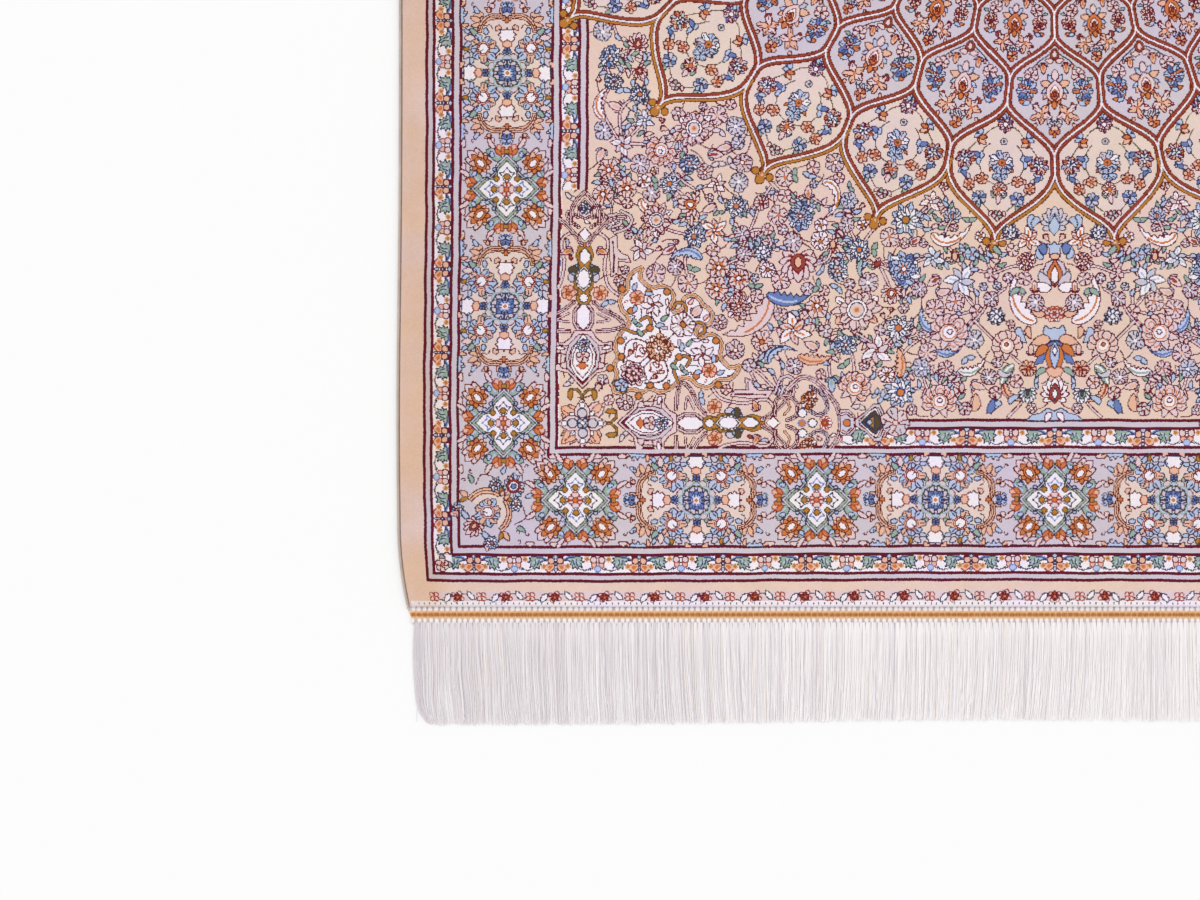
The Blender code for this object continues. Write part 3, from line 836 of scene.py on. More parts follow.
@dataclass
class LotusTree:
    """The flowers stacked on the rug's middle line between the medallion and the end border."""

    def paired(self, q: Chart) -> None:
        """The leaves and stems beside the middle line; the mirror gives those of the other side."""
        each(q.stem, (
            (712j, 10 + 703j, 19 + 697j), (22 + 716j, 30 + 728j, 34 + 738j),
            (26 + 764j, 36 + 757j, 48 + 745j), (27 + 790j, 36 + 802j, 46 + 812j),
            (64 + 700j, 58 + 690j, 50 + 684j), (26 + 635j, 40 + 632j, 58 + 636j),
            (30 + 660j, 44 + 662j, 60 + 668j), (64 + 690j, 72 + 706j, 84 + 720j),
            (48 + 742j, 60 + 736j, 80 + 716j),
        ))
        q.plume(17 + 716j, 52, 0.0, IVORY, ORANGE, -1.15)
        q.plume(40 + 760j, 30, 0.3, GREEN, IVORY, 0.9)
        q.plume(50 + 778j, 26, 1.2, SALMON, MADDER, 1.2)
        each(q.leaf, (
            (14 + 616j, 17, -0.5, SKY, 1.6), (20 + 612j, 14, -0.2, SKY, 1.8), (11 + 652j, 13, 0.2, SKY, -1.4),
            (34 + 722j, 17, 1.0, SKY, 0.9), (24 + 722j, 12, 0.6, SALMON, 1.0),
            (30 + 690j, 12, -1.2, GREEN, 0.7), (34 + 686j, 12, -0.4, GREEN, 0.9),
            (8 + 766j, 13, -0.4, GREEN, 0.9), (60 + 640j, 12, 1.6, GREEN, 0.6),
            (52 + 800j, 15, -0.5, SKY, 1.2), (44 + 800j, 13, -1.5, SKY, -0.9),
            (68 + 808j, 16, -2.6, BLUE, 0.6), (82 + 806j, 18, -2.4, SALMON, 0.7),
            (54 + 764j, 14, 1.2, LILAC, 1.8),
        ))

    def stacked(self, axis: Chart) -> None:
        """The shapes on the middle line, which is x here, from the medallion's foot to the border."""
        parts = (
            (SKY, SLATE, 630, 626 + 4j, 620 + 6j, 610),
            (SKY, SLATE, 636, 640 + 3j, 638 + 9j, 645 + 5j, 652 + 6j, 654),
            (SALMON, WINE, 648, 650 + 5j, 656 + 3j, 658),
            (LILAC, WINE, 654, 658 + 9j, 668 + 12j, 676 + 9j, 682),
            (ORANGE, WINE, 654, 666 + 7j, 676 + 7j, 682), (IVORY, RUST, 660, 668 + 3.5j, 676 + 3.5j, 680),
            (SKY, SLATE, 722, 724 + 4j, 720 + 9j, 728 + 12j, 734 + 9j, 736),
            (BLUE, SLATE, 735, 740 + 9j, 752 + 17j, 760 + 21j, 758 + 12j, 750 + 8j, 762),
            (ORANGE, SLATE, 738, 742 + 6j, 752 + 10j, 764 + 6j, 770),
            (SKY, SLATE, 736, 745 + 4.5j, 755 + 4j, 768), (IVORY, SLATE, 740, 746 + 2.6j, 752),
            (SALMON, MADDER, 764, 762 + 4j, 765 + 9j, 771 + 6j, 773),
            (MADDER, WINE, 778, 785 + 5j, 793 + 5j, 799), (IVORY, SLATE, 783, 789 + 3j, 795),
            (SKY, SLATE, 806, 803 + 7j, 808 + 14j, 810 + 22j, 815 + 28j, 815),
        )
        axis.palmette(618, 17, FROST, math.pi)
        axis.palmette(675, 20, Silks(LILAC, ORANGE, IVORY, WINE), math.pi)
        axis.palmette(790, 17, Silks(IVORY, MADDER, WINE, WINE), math.pi)
        for ink, edge, *half in parts:
            axis.shape(mirrored(*half), ink, edge)
        axis.rosette(709, 9, Silks(BLUSH, SALMON, MADDER, MADDER))

    def beside(self, q: Chart) -> None:
        """The flowers and the last leaves beside the middle line."""
        each(q.leaf, (
            (12 + 650j, 18, -1.9, BLUE, 0.9), (3 + 682j, 20, -0.5, LILAC, -0.4),
            (3 + 682j, 20, 0.25, IVORY, -0.4), (9 + 709j, 14, 0.1, SALMON, -0.3),
            (4 + 736j, 20, -0.35, SALMON, 0.5), (6 + 742j, 17, 0.2, ORANGE, 0.4),
            (2 + 808j, 12, 0.5, IVORY, 0.4),
        ))
        each(q.draw, (
            (LILY, 26 + 634j, 14, FLAME, 0.4), (STAR, 44 + 628j, 9, HAZE), (ROSETTE, 29 + 656j, 9.5, ROSE),
            (FLORET, 19 + 697j, 9, VIOLET), (BUD, 20 + 683j, 7, FLAME, -1.57),
            (PEONY, 48 + 741j, 16, ROSE, -1.2), (BUD, 24 + 746j, 7, ROSE, -1.57),
            (BLOSSOM, 26 + 764j, 8.5, GLOW), (STAR, 58 + 712j, 10, HAZE), (FLORET, 63 + 694j, 8, VIOLET),
            (PALMETTE, 27 + 788j, 11, Silks(IVORY, GREEN, OLIVE, SLATE), 1.57),
        ))

    def draw(self, chart: Chart) -> None:
        """Draws the half that the quarter holds; what passes the middle line is left to the mirror."""
        self.paired(chart)
        self.stacked(chart.framed(unit=1j, flip=True))
        self.beside(chart)


@dataclass
class Stripes:
    """The wine lines that part the borders and the plain grounds between, from the outermost inwards."""

    across: tuple[int, ...] = (631, 624, 605, 597, 505, 497, 478, 470)
    along: tuple[int, ...] = (977, 970, 951, 943, 851, 844, 825, 817)
    grounds: tuple[Ink, ...] = (LILAC, IVORY, LILAC, LILAC, LILAC, IVORY, LILAC, PEACH)
    line: int = 3

    def draw(self, chart: Chart) -> None:
        """Draws them."""
        for column, row, ground in zip(self.across, self.along, self.grounds):
            chart.knots[:row, :column] = WINE
            chart.knots[: row - self.line, : column - self.line] = ground


@dataclass
class GuardBorder:
    """A narrow border: a four-lobed flower and a small bell in turn, a serrated leaf and two buds between."""

    first_column: int
    first_row: int
    repeat: float
    depth: int = 17
    drawn: float = 45.0  # the half repeat that the places below are given for

    def half_repeat(self) -> Chart:
        """From the middle of the four-lobed flower, at column 0, to the middle of the bell."""
        tile = Chart.blank(round(self.repeat / 2), self.depth)
        q = tile.framed(1j * self.depth / 2, self.repeat / 2 / self.drawn)
        q.line(smooth(24 + 5j, 29 + 7j, 34 + 6.5j, 39 + 3j), SLATE)
        q.line(smooth(6 - 4j, 10 - 5j, 15 - 7.5j, 24 - 7.5j), BLUE)
        leaf = (9 - 3j, 15 - 6.5j, 22 - 7.2j, 29 - 7j, 27 - 3.5j, 30.5 - 2j, 27 + 0.5j, 28.5 + 4j, 24.5 + 3j,
                23.5 + 7j, 21 + 3.5j, 17.5 + 6j, 18.5 + 2j, 15 + 1j, 17 - 1.5j, 14 - 3j)
        q.shape(np.array(leaf), GREEN)
        q.line([14 - 4.5j, 21 - 4j, 25], SKY, 1.6)
        each(q.line, (
            ((18 - 4j, 20 + 1j), SLATE), ((22 - 4j, 23 + 2.5j), SLATE),
            ((1 - 7.5j, 4 - 7j, 8 - 8j, 8 - 3j), WINE), ((38 - 7.5j, 41.5 - 3j, 45 - 6.5j), WINE),
            ((45 - 1.5j, 42 + 4j, 37 + 6j), SLATE),
        ))
        q.shape(1 + 1j + 11.5 * np.exp(0.5j) * petal(0.36, 0.8), SALMON, MADDER)
        q.fill(2.5 + 1.5j + 6.5 * np.exp(0.5j) * petal(0.3), ORANGE)
        each(q.disc, (
            (13 + 3j, 2.6, GOLD, SALMON), (33.5 - 5j, 2.6, GOLD, SALMON), (4.6 - 3.4j, 3.6, SALMON),
            (-7.5j, 2.4, SKY), (6.5j, 2.0, SKY), (0j, 1.8, SKY), (40.6 - 4.4j, 3.6, BLUSH),
            (41.4 + 1.4j, 3.0, SALMON, MADDER), (45 + 5j, 3.4, SKY, BLUE),
        ))
        return tile

    def lay(self, target: np.ndarray, tile: np.ndarray) -> None:
        """Repeats a half, turned about at every other place, from the first column of a strip."""
        half, wide = self.repeat / 2, target.shape[1]
        for k in range(math.ceil(wide / half)):
            start = round(k * half)
            part = (tile if k % 2 == 0 else tile[:, ::-1])[:, : wide - start]
            place = target[:, start : start + part.shape[1]]
            place[part != EMPTY] = part[part != EMPTY]

    def draw(self, chart: Chart) -> None:
        """Draws the border across the end, down the side and round the corner."""
        column, row, depth, tile = self.first_column, self.first_row, self.depth, self.half_repeat().knots
        self.lay(chart.knots[row : row + depth, :column], tile)
        self.lay(chart.knots[:row, column : column + depth].T, tile)
        corner = chart.framed(column + depth / 2 + 1j * (row + depth / 2))
        corner.fill(depth / 2 * np.array([-1 - 1j, 1 - 1j, 1 + 1j, -1 + 1j]), IVORY)
        for pen in corner.diagonals():
            pen.leaf(-9 + 3j, 12, -0.7, GREEN)
        corner.blossom(1 + 1j, 7, ROSE, 0.6)


def eightfold(*eighth: complex) -> Outline:
    """A star's outline from an eighth of it, which starts on the axis that the rows count along."""
    first = np.asarray(eighth, complex)
    quarter = np.concatenate([first, (1j * first.conj())[::-1]])
    return np.concatenate([quarter * (-1j) ** k for k in range(4)])


@dataclass
class StarCell:
    """A border cell: a four-pointed star in a double line, with a flaming palmette in each corner."""

    columns: int = 60
    rows: int = 47

    def tile(self) -> Chart:
        """Draws a quarter of the cell and unfolds it."""
        q = Chart.blank(self.columns, self.rows)
        for x in (22, 46):
            q.shape(x + 47j - 6j * petal(0.7, 0.8, 0.4), BLUSH)
        for x, y in ((9, 44), (33, 45), (56, 43), (57, 33), (50, 33)):
            q.line(curl(x + 1j * y, 2.2, 0.4 * x), WINE)
        for pen, room in zip(q.diagonals(), (0, 3)):
            side = pen.framed(1j * room)
            side.shape(6 + 24j + 19 * np.exp(1.02j) * petal(0.27, 0.7, 0.7, -0.3), GREEN)
            side.line(9 + 29j + 11 * np.exp(0.95j) * np.linspace(0, 1, 5), SKY, 1.6)
            side.shape(11 + 38j + 13 * np.exp(0.45j) * petal(0.2, 0.7, 0.8, 0.5), BLUSH)
            for foot, length, turn, ink in ((4, 12, 1.15, SALMON), (3, 9, 1.5, ORANGE), (5, 9, 0.7, ORANGE)):
                side.shape(foot + 31j + length * np.exp(1j * turn) * petal(0.26, 0.8, 0.7), ink, MADDER)
            side.shape(31j + 6j * petal(0.5, 0.8, 0.45), GOLD)
        palmette = q.framed(25.5 + 26.5j, np.exp(1j * math.pi / 4))
        for spread, size, ink, edge in (
            (0.5, 16.5, BLUSH, WINE), (0, 18, BLUSH, WINE), (1.3, 12.5, LILAC, WINE), (2.9, 11, SALMON, RUST),
            (2.2, 11, ORANGE, RUST), (1.5, 10.5, ORANGE, RUST), (0.8, 12, SALMON, RUST),
            (0, 13, ORANGE, RUST),
        ):
            for pen in palmette.sides():
                pen.shape(size * np.exp(1j * spread) * petal(0.24, 0.9, 0.7), ink, edge)
        oval = ring(18)
        palmette.shape(7.4 * oval.real + 5.4j * oval.imag, ORANGE)
        palmette.shape(4.6 * oval.real + 2.9j * oval.imag, IVORY, RUST)
        for spot, turn in ((17 + 30j, 2.0), (31 + 15.5j, -0.4), (15.5 + 20j, 3.5), (20 + 14.5j, -1.9)):
            q.leaf(spot, 7, turn, SKY, 0.4, 0.34)
        outline = eightfold(*smooth(32j, 5 + 27j, 10 + 21.5j, 11 + 16j, 14 + 12.5j))
        for grow, ink, edge in ((1.1, LILAC, SLATE), (1.0, GREEN, SLATE), (0.88, IVORY, OLIVE)):
            q.shape(outline * grow, ink, edge)
        q.disc(10.4 + 10.4j, 2.7, GOLD)
        for pen, edge in zip(q.diagonals(), (BLUE, SLATE)):
            pen.shape(mirrored(7j, 3 + 9j, 5 + 13j, 7.5 + 16.5j, 3.5 + 17j, 21.5j, axis=math.pi / 2), IVORY,
                      edge)
            pen.disc(12.6j, 3.1, GOLD)
        q.whorl(0, 7.4, 8, PLAIN, MADDER, BLUSH, turn=math.pi / 8)
        q.disc(0, 2.6, ORANGE, MADDER)
        return q.unfold()


@dataclass
class CartoucheCell:
    """A border cell: a blue rosette in a pale halo, with scrolled brackets at its two ends."""

    columns: int = 72
    rows: int = 47

    def bracket(self, q: Chart) -> None:
        """The scroll that ends the cell."""
        outer = smooth(56 + 0j, 59 + 5j, 59.5 + 14j, 56 + 22j, 50 + 27j, 41 + 30j)
        inner = smooth(40 + 26j, 47 + 24j, 52 + 19j, 54 + 12j, 54 + 5j, 50 + 0j)
        q.fill(np.concatenate([[0, 40j], smooth(16 + 33j, 36 + 29j, 50 + 27j, 59 + 12j, 56 + 0j)]), CREAM)
        q.shape(np.concatenate([outer, inner]), SALMON, RUST)
        for points in (
            (57 + 3j, 57.5 + 13j, 54 + 20.5j, 48 + 25.5j, 42 + 28j), (55.5 + 1j, 56 + 8j, 55 + 14j),
            (44 + 14j, 48 + 17j, 47 + 22j),
        ):
            q.line(smooth(*points), RUST)
        for foot, length, turn, bend in (
            (57 + 23j, 11, 1.0, 0.6), (54 + 26j, 11, 1.9, -0.5), (60 + 17j, 8, 0.2, 0.6),
            (50 + 28j, 9, 2.4, -0.5), (59 + 6j, 7, -0.4, 0.6),
        ):
            q.leaf(foot, length, turn, SALMON, bend, edge=RUST)
        q.leaf(60 + 27j, 9, 1.2, SKY, -0.5)
        q.disc(67 + 15j, 3.0, BLUSH)
        q.line(curl(63 + 20j, 3, 0.2, -1), WINE)
        q.shape(50 + 7 * petal(0.3, 0.6, 1.0), ORANGE)
        q.whorl(67, 7.6, 5, PLAIN, SLATE, BLUE, SKY)

    def tile(self) -> Chart:
        """Draws a quarter of the cell and unfolds it."""
        q = Chart.blank(self.columns, self.rows)
        self.bracket(q)
        q.shape(58 + 46.5j + np.array([-9 - 1j, -6 - 4j, -2 - 3j, -6.5j, 2 - 3j, 6 - 4j, 9 - 1j, 9, -9]), SKY)
        for foot, turn in ((49 + 46j, -2.2), (67 + 46j, -1.0)):
            q.leaf(foot, 8, turn, SALMON, edge=RUST)
        q.line(smooth(6 + 46j, 8 + 38j, 14 + 36j, 17 + 44j), WINE)
        for foot, length, turn, ink in (
            (33 + 33j, 11, 0.95, BLUSH), (37 + 31j, 10, 0.35, GREEN), (30 + 36j, 9, 1.6, SKY),
            (20 + 37j, 9, 1.9, LILAC), (16 + 34j, 8, 2.5, SKY), (38 + 22j, 8, -0.4, SKY),
            (13 + 22j, 8, 3.4, GREEN), (24 + 38j, 7, 1.2, GOLD), (40 + 38j, 7, 0.7, SKY),
        ):
            q.leaf(foot, length, turn, ink, 0.4, 0.3)
        flower = q.framed(24.5 + 24j)
        flower.whorl(0, 15, 9, SLIM, SLATE, SKY, SALMON, SKY, turn=0.35, flush=LILAC)
        flower.disc(0, 7.0, SALMON, MADDER)
        flower.disc(0, 5.2, IVORY)
        flower.line(curl(-1.5, 2.6, 1.2, turns=0.7), SLATE)
        for pen, edge in zip(q.diagonals(), (WINE, SLATE)):
            for side in pen.sides():
                side.shape(45 + 5.5j + 6.5 * np.exp(1j) * petal(0.42, 0.8, 0.5, 0.8), SALMON)
            pen.shape(mirrored(32, 31.5 + 4.5j, 34 + 8j, 36.5 + 6j, 38.5 + 9.5j, 41 + 6.5j, 44 + 6j, 43, 46),
                      IVORY, edge)
            pen.shape(mirrored(33, 31 + 4.5j, 27 + 4.5j, 25.5 + 1.5j), SALMON, MADDER)
            pen.whorl(22, 4.2, 5, BROAD, SLATE, BLUE, turn=math.pi)
        q.shape(20.5 * lobed(8, 0.25) * np.exp(1j * math.pi / 8), LILAC, WINE)
        q.shape(17.5 * lobed(8, 0.2), SKY, GREEN)
        q.whorl(0, 13.4, 10, petal(0.28, 0.9, 0.35), SLATE, LILAC)
        q.line(13.8 * ring(40), OLIVE, closed=True)
        q.whorl(0, 9.4, 8, PLAIN, SLATE, BLUE, flush=SKY)
        q.disc(0, 2.6, ORANGE, IVORY)
        return q.unfold()


@dataclass
class MainBorder:
    """The wide lilac border: star and cartouche cells in turn, with a spray in each corner."""

    column: float = 549.0  # its middle line down the side
    row: float = 894.5  # and across the end
    across_step: float = 119.2
    along_step: float = 116.9
    corner_shift: complex = 16.5 + 12.5j  # from where the two lines cross to the corner flower's middle

    def corner(self, chart: Chart) -> None:
        """The corner: a flower in a broken crescent. A place is measured towards the rug's middle along x."""
        q = chart.framed(self.column + 1j * self.row + self.corner_shift, np.exp(-0.75j * math.pi))
        q.fill(np.append(23.5 * np.exp(1j * np.linspace(-1.75, 1.75, 40)), 0), CREAM)
        crescent = np.exp(1j * np.linspace(0.16, 1.75, 20))
        for pen in q.sides():
            pen.shape(np.concatenate([24.5 * crescent, (19 * crescent)[::-1]]), SALMON, RUST)
            pen.line(21.8 * crescent, RUST)
            for reach, at, length, turn, ink, bend in (
                (22, 0.1, 10, 0.75, GOLD, 0.3), (25, 1.75, 11, 1.2, SALMON, 0.4),
                (21, 0.1, 8, 0.4, SALMON, -0.4), (24, 1.75, 9, 2.2, GOLD, 0.5),
                (33, 1.3, 10, 0.6, GREEN, 0.6), (41, 0.4, 9, 0.9, SKY, -0.5), (20, 3.64, 11, 4.34, SKY, 0.4),
            ):
                pen.leaf(reach * np.exp(1j * at), length, turn, ink, bend)
            for reach, at in ((29.5, 0.52), (31, 2.25)):
                pen.star(reach * np.exp(1j * at), 7.4, BLUEBELL)
            pen.line(smooth(30 * np.exp(1.2j), 38 * np.exp(0.95j), 36 * np.exp(0.65j)), WINE)
            pen.bud(33 * np.exp(3.9j), 6, FLAME, 3.74)
        q.whorl(37, 12, 10, SLIM, SLATE, LILAC, SKY, SALMON)
        q.whorl(0, 14.5, 10, SLIM, SLATE, SKY, SALMON, turn=0.2)
        for at, size, ink, edge in ((37, 7, MADDER, WINE), (37, 5, IVORY, WINE), (37, 2.8, BLUE, SLATE),
                                    (0, 7, BLUSH, MADDER), (0, 5, IVORY, WINE)):
            q.disc(at, size, ink, edge)
        q.line(curl(-1.5, 2.6, 1.2, turns=0.7), SLATE)
        q.palmette(-19, 13, GARNET, math.pi)

    def draw(self, chart: Chart) -> None:
        """Sets the cells along the end and down the side, then the corner."""
        star, cartouche = StarCell().tile(), CartoucheCell().tile()
        for k in range(5):
            chart.paste(cartouche if k % 2 else star, self.across_step * k, self.row)
        for k in range(8):
            chart.paste(Chart((star if k % 2 else cartouche).knots.T), self.column, self.along_step * k)
        self.corner(chart)


@dataclass
class EndVine:
    """The thin vine along the plain band past the borders: small flowers in turn between outlined leaves."""

    row: float = 991.7
    pale_from: int = 986  # past here the dyed weft runs out, and past the next it is white
    white_from: int = 996
    bundle: float = 5.9  # knots for each bundle of warps
    step: float = 25.0
    last: float = 626.0

    def flower(self, q: Chart, large: bool) -> None:
        """One of the two flowers, on four outlined leaves."""
        reach, leaf = (7.2, petal(0.3, 0.8, 0.5, 0.4)) if large else (5.4, petal(0.4, 0.8, 0.4))
        for turn in (-2.4, -0.7, 0.7, 2.4):
            q.shape(reach * np.exp(1j * turn) * leaf, BLUSH, MADDER)
        if large:
            q.whorl(0, 4.4, 5, BROAD, WINE, MADDER, turn=-math.pi / 2)
        q.dot(0, 1.2, ORANGE)

    def draw(self, chart: Chart) -> None:
        """Draws it from the middle out, on a ground that pales towards the bound warps."""
        chart.knots[self.pale_from :, : int(self.last)] = BLUSH
        chart.knots[self.white_from :] = IVORY
        for k in range(int(HALF_COLUMNS / self.bundle)):
            chart.line(k * self.bundle + 1j * np.array([HALF_ROWS - 4, HALF_ROWS - 2]), SLATE)
        places = int(self.last / self.step)
        for k in range(places + 1):
            q = chart.framed(self.step * k + 1j * self.row)
            self.flower(q, k % 2 == 0)
            if k < places:
                # the stem and leaf to the next flower swing up and down in turn
                wave = q.framed(self.step / 2, 1, flip=k % 2 == 1)
                wave.line(smooth(-7.5 - 1j, -5 - 3j, 3j, 7 + 3j), SLATE)
                wave.shape(-5.5 - 2.5j + 11 * np.exp(0.55j) * petal(0.24, 0.7, 0.8, 0.3), IVORY, SLATE)


@dataclass
class Medallion:
    """The great round medallion: rings of ogees that shrink inwards, between white and brown lines.

    A place in an ogee is measured from its middle, x outwards from the rug's middle and y sideways, in knots
    of the outermost ring and of the first inner one.
    """

    sectors: int = 32
    rings: int = 11
    shrink: float = 0.862  # from one ring to the next
    first_outer: float = 637.0  # where the outermost ogees end
    next_outer: float = 553.0
    first_inner: float = 499.0
    first_apart: float = 563.0  # where the outermost ogees come apart
    first_middle: float = 560.0
    next_middle: float = 480.0
    line_room: float = 2.8  # from the middle of the white line to that of a brown one
    lean: float = 0.018  # how far, in radians, a diagonal leans towards the line down the rug's middle
    single_from: int = 5  # the first ring whose ogees hold a single flower
    shared: int = 16  # the points of a side at which an outermost ogee leaves its neighbour
    step: float = field(init=False)

    def __post_init__(self) -> None:
        """Half the angle between two ogees of a ring."""
        self.step = math.pi / self.sectors

    def inner(self, n: int) -> float:
        """Where the ogees of ring n start."""
        return self.first_inner * self.shrink**n

    def outer(self, n: int) -> float:
        """Where the ogees of ring n end."""
        return self.next_outer * self.shrink ** (n - 1) if n else self.first_outer

    def bearing(self, n: int, k: int) -> float:
        """The angle of ogee k of ring n from the line down the rug's middle."""
        return (2 * k + 1 + n % 2) * self.step

    def out(self, angle: Any) -> Any:
        """The way out at an angle from the line down the middle, bent as the woven rug is closer one way."""
        return np.exp(1j * (math.pi / 2 - angle + self.lean * np.sin(2 * angle)))

    def side(self, n: int, k: int, way: int) -> Outline:
        """One side of an ogee, from its inner tip to its outer one."""
        start, widest = self.inner(n), self.outer(n + 1)
        parting, end = (self.inner(n - 1) if n else self.first_apart), self.outer(n)
        u, v = np.linspace(0, 1, 16), np.linspace(0, 1, 18)
        rise = (1 - np.cos(math.pi * u**0.9)) / 2
        fall = (1 + np.cos(math.pi * v ** (0.9 if n else 1.25))) / 2
        reach = np.concatenate([start + (widest - start) * u, parting + (end - parting) * v])
        return reach * self.out(self.bearing(n, k) + np.concatenate([rise, fall]) * self.step * way)

    def cream_flowers(self, q: Chart) -> None:
        """The flowers of an outermost ogee."""
        for pen in q.sides():
            pen.line(smooth(-38, -33 + 13j, -23 + 22j, -8 + 35j, 10 + 38j, 25 + 31j, 39 + 19j, 54 + 3j),
                     OLIVE)
        q.line(22.5 * np.exp(1j * np.linspace(-2.5, 2.5, 40)), OLIVE)
        for pen in q.sides():
            for at, length, turn, ink, *edge in (
                (-2 - 22j, 8, 2.6, SKY), (-3 - 23j, 9, -2.6, BLUE), (-3 - 22j, 8, -0.6, SKY),
                (-26 - 22j, 9, -1.6, SKY), (-27 - 23j, 9, -2.4, BLUE), (-26 - 24j, 9, 3.1, SKY),
                (-24 - 23j, 8, -0.5, ORANGE), (-23 - 24j, 9, 0.4, SALMON, RUST),
                (-24 - 25j, 8, 1.2, ORANGE, WINE), (9 - 36j, 8, -1.3, SKY), (9 - 38j, 9, 0.0, BLUE),
                (9 - 40j, 8, 1.2, SKY), (20 - 32j, 7, 3.0, LILAC), (26 - 36j, 8, 1.4, IVORY, SLATE),
                (20 - 26j, 6, 2.4, SALMON), (40 - 20j, 8, -0.2, GREEN), (28 - 5j, 8, -0.4, GREEN),
                (49 - 5j, 6, -1.0, BLUSH), (6 - 8j, 5, -1.4, ORANGE), (53 - 5j, 6, 1.2, GREEN),
            ):
                pen.leaf(at, length, turn, ink, 0.4, 0.3, *edge)
            each(pen.whorl, (
                (-1 - 37j, 9.5, 9, SLIM, WINE, SALMON, LILAC, ORANGE, SKY),
                (-1 - 37j, 5.0, 5, PLAIN, SLATE, IVORY), (18 - 18j, 6.0, 6, BROAD, WINE, SALMON),
                (24 - 31j, 6.0, 6, BROAD, WINE, SALMON), (36 - 19.5j, 7.4, 7, PLAIN, SLATE, SKY, LILAC, BLUE),
            ))
            pen.disc(18 - 18j, 1.9, ORANGE, MADDER)
            pen.disc(24 - 31j, 1.9, ORANGE, MADDER)
        each(q.whorl, (
            (0, 12.5, 9, SLIM, SLATE, IVORY, LILAC, SKY), (12, 8.0, 5, BROAD, SLATE, SKY),
            (27, 7.6, 7, PLAIN, WINE, SALMON, IVORY), (53, 5.6, 5, BROAD, WINE, LILAC, GREEN),
            (-38, 8.6, 9, SLIM, WINE, BLUE, BLUSH, LILAC),
        ))
        each(q.disc, (
            (-21, 3.4, LILAC), (-21, 1.0, OLIVE, OLIVE), (0, 3.6, ORANGE, MADDER), (0, 1.0, OLIVE, OLIVE),
            (27, 2.4, ORANGE, MADDER), (-38, 2.6, IVORY),
        ))
        q.leaf(32, 10, 0.0, BLUSH, 0.0)
        for turn in (-0.5, 0.0, 0.5):
            q.leaf(-43, 8, math.pi + turn, SKY, 0.0)

    def lilac_flowers(self, q: Chart, warm: bool) -> None:
        """The flowers of an inner ogee, which past the first inner ring are nearly all warm silks."""
        cool_roundel = (11, 9, SLIM, SLATE, BLUE, SKY, ORANGE, SKY)
        roundel = (8.5, 6, BROAD, WINE, SALMON, BLUSH) if warm else cool_roundel
        heart, bulb = (MADDER, ORANGE) if warm else (SKY, BLUSH)
        for pen in q.sides():
            pen.line(smooth(-34, -20 - 20j, -32j, 16 - 25j, 28 - 14j, 40), SLATE)
            for at, length, turn, ink, *edge in (
                (-23 - 1j, 9, -2.0, BLUSH, RUST), (-2 - 2j, 10, -2.72, SKY), (2 - 4j, 12, -2.2, SALMON, RUST),
                (5 - 5j, 9, -1.4, SKY), (8 - 5j, 9, -1.0, SALMON), (14 - 3j, 7, -0.7, ORANGE),
                (19 - 29j, 7, -2.2, ORANGE), (17 - 24j, 9, -2.9, ORANGE, WINE), (17 - 24j, 8, -1.4, SKY),
                (27 - 5j, 6, -0.6, SALMON), (-21 - 17j, 5, -0.4, SALMON), (-5 - 32j, 6, -2.1, GREEN),
                (38 - 18j, 6, -0.7, SALMON), (24 - 21j, 8, 2.4, MADDER), (34 - 3j, 7, -0.9, LILAC),
            ):
                pen.leaf(at, length, turn, ink, 0.2, 0.3, *edge)
            pen.bud(-18 - 11.5j, 6.6, CORAL)
            each(pen.whorl, (
                (-10 - 24j, 7.4, 6, BROAD, WINE, BLUSH), (5 - 28.5j, *roundel),
                (5 - 28.5j, 4.6, 5, PLAIN, WINE, BLUSH, heart, SALMON),
                (29 - 12.5j, 12, 5, petal(0.27, 0.8, 0.9), WINE, SALMON, BLUSH),
            ))
            pen.dot(29 - 12.5j, 1.7, ORANGE)
        for foot, length, width, ink, edge in (
            (-25, 12, 0.4, MADDER, RUST), (-27, 8, 0.3, BLUSH, RUST), (-4, 12, 0.3, BLUSH, WINE),
            (18, 23, 0.38, bulb, WINE), (16, 16, 0.3, IVORY, MADDER), (15, 11, 0.3, ORANGE, RUST),
            (12, 6, 0.26, MADDER, WINE), (16, -8, 0.34, ORANGE, RUST),
        ):
            q.leaf(foot, length, math.pi, ink, 0.0, width, edge)
        for turn in (-0.9, -0.45, 0.0, 0.45, 0.9):
            q.leaf(44, 9, math.pi + turn, LILAC, 0.0, 0.22)
        q.whorl(46, 6.4, 5, BROAD, WINE, ORANGE, SALMON)

    def single_flower(self, q: Chart) -> None:
        """The one flower that an ogee near the hub has room for."""
        for turn in (-0.5, 0.0, 0.5):
            q.leaf(-16, 20, math.pi + turn, SKY, 0.0)
        q.whorl(5, 27, 6, BROAD, WINE, SALMON, BLUSH)
        q.disc(5, 9, ORANGE, MADDER)

    def hub(self, chart: Chart) -> None:
        """The middle, inside the smallest ogees."""
        reach = self.inner(self.rings - 1)
        chart.fill(reach * 0.98 * ring(64), PEACH)
        for width, ink in ((5.0, RUST), (2.0, IVORY)):
            chart.line(reach * ring(96), ink, width, closed=True)
        for share, count, silks in ((0.86, 16, ROSE), (0.62, 16, BLUEBELL), (0.42, 8, FLAME)):
            leaf = petal(2.6 / count)
            chart.whorl(0, reach * share, count, leaf, silks.edge, silks.petal, silks.inner,
                        turn=math.pi / count)
        chart.disc(0, reach * 0.2, IVORY)
        chart.disc(0, reach * 0.1, MADDER)

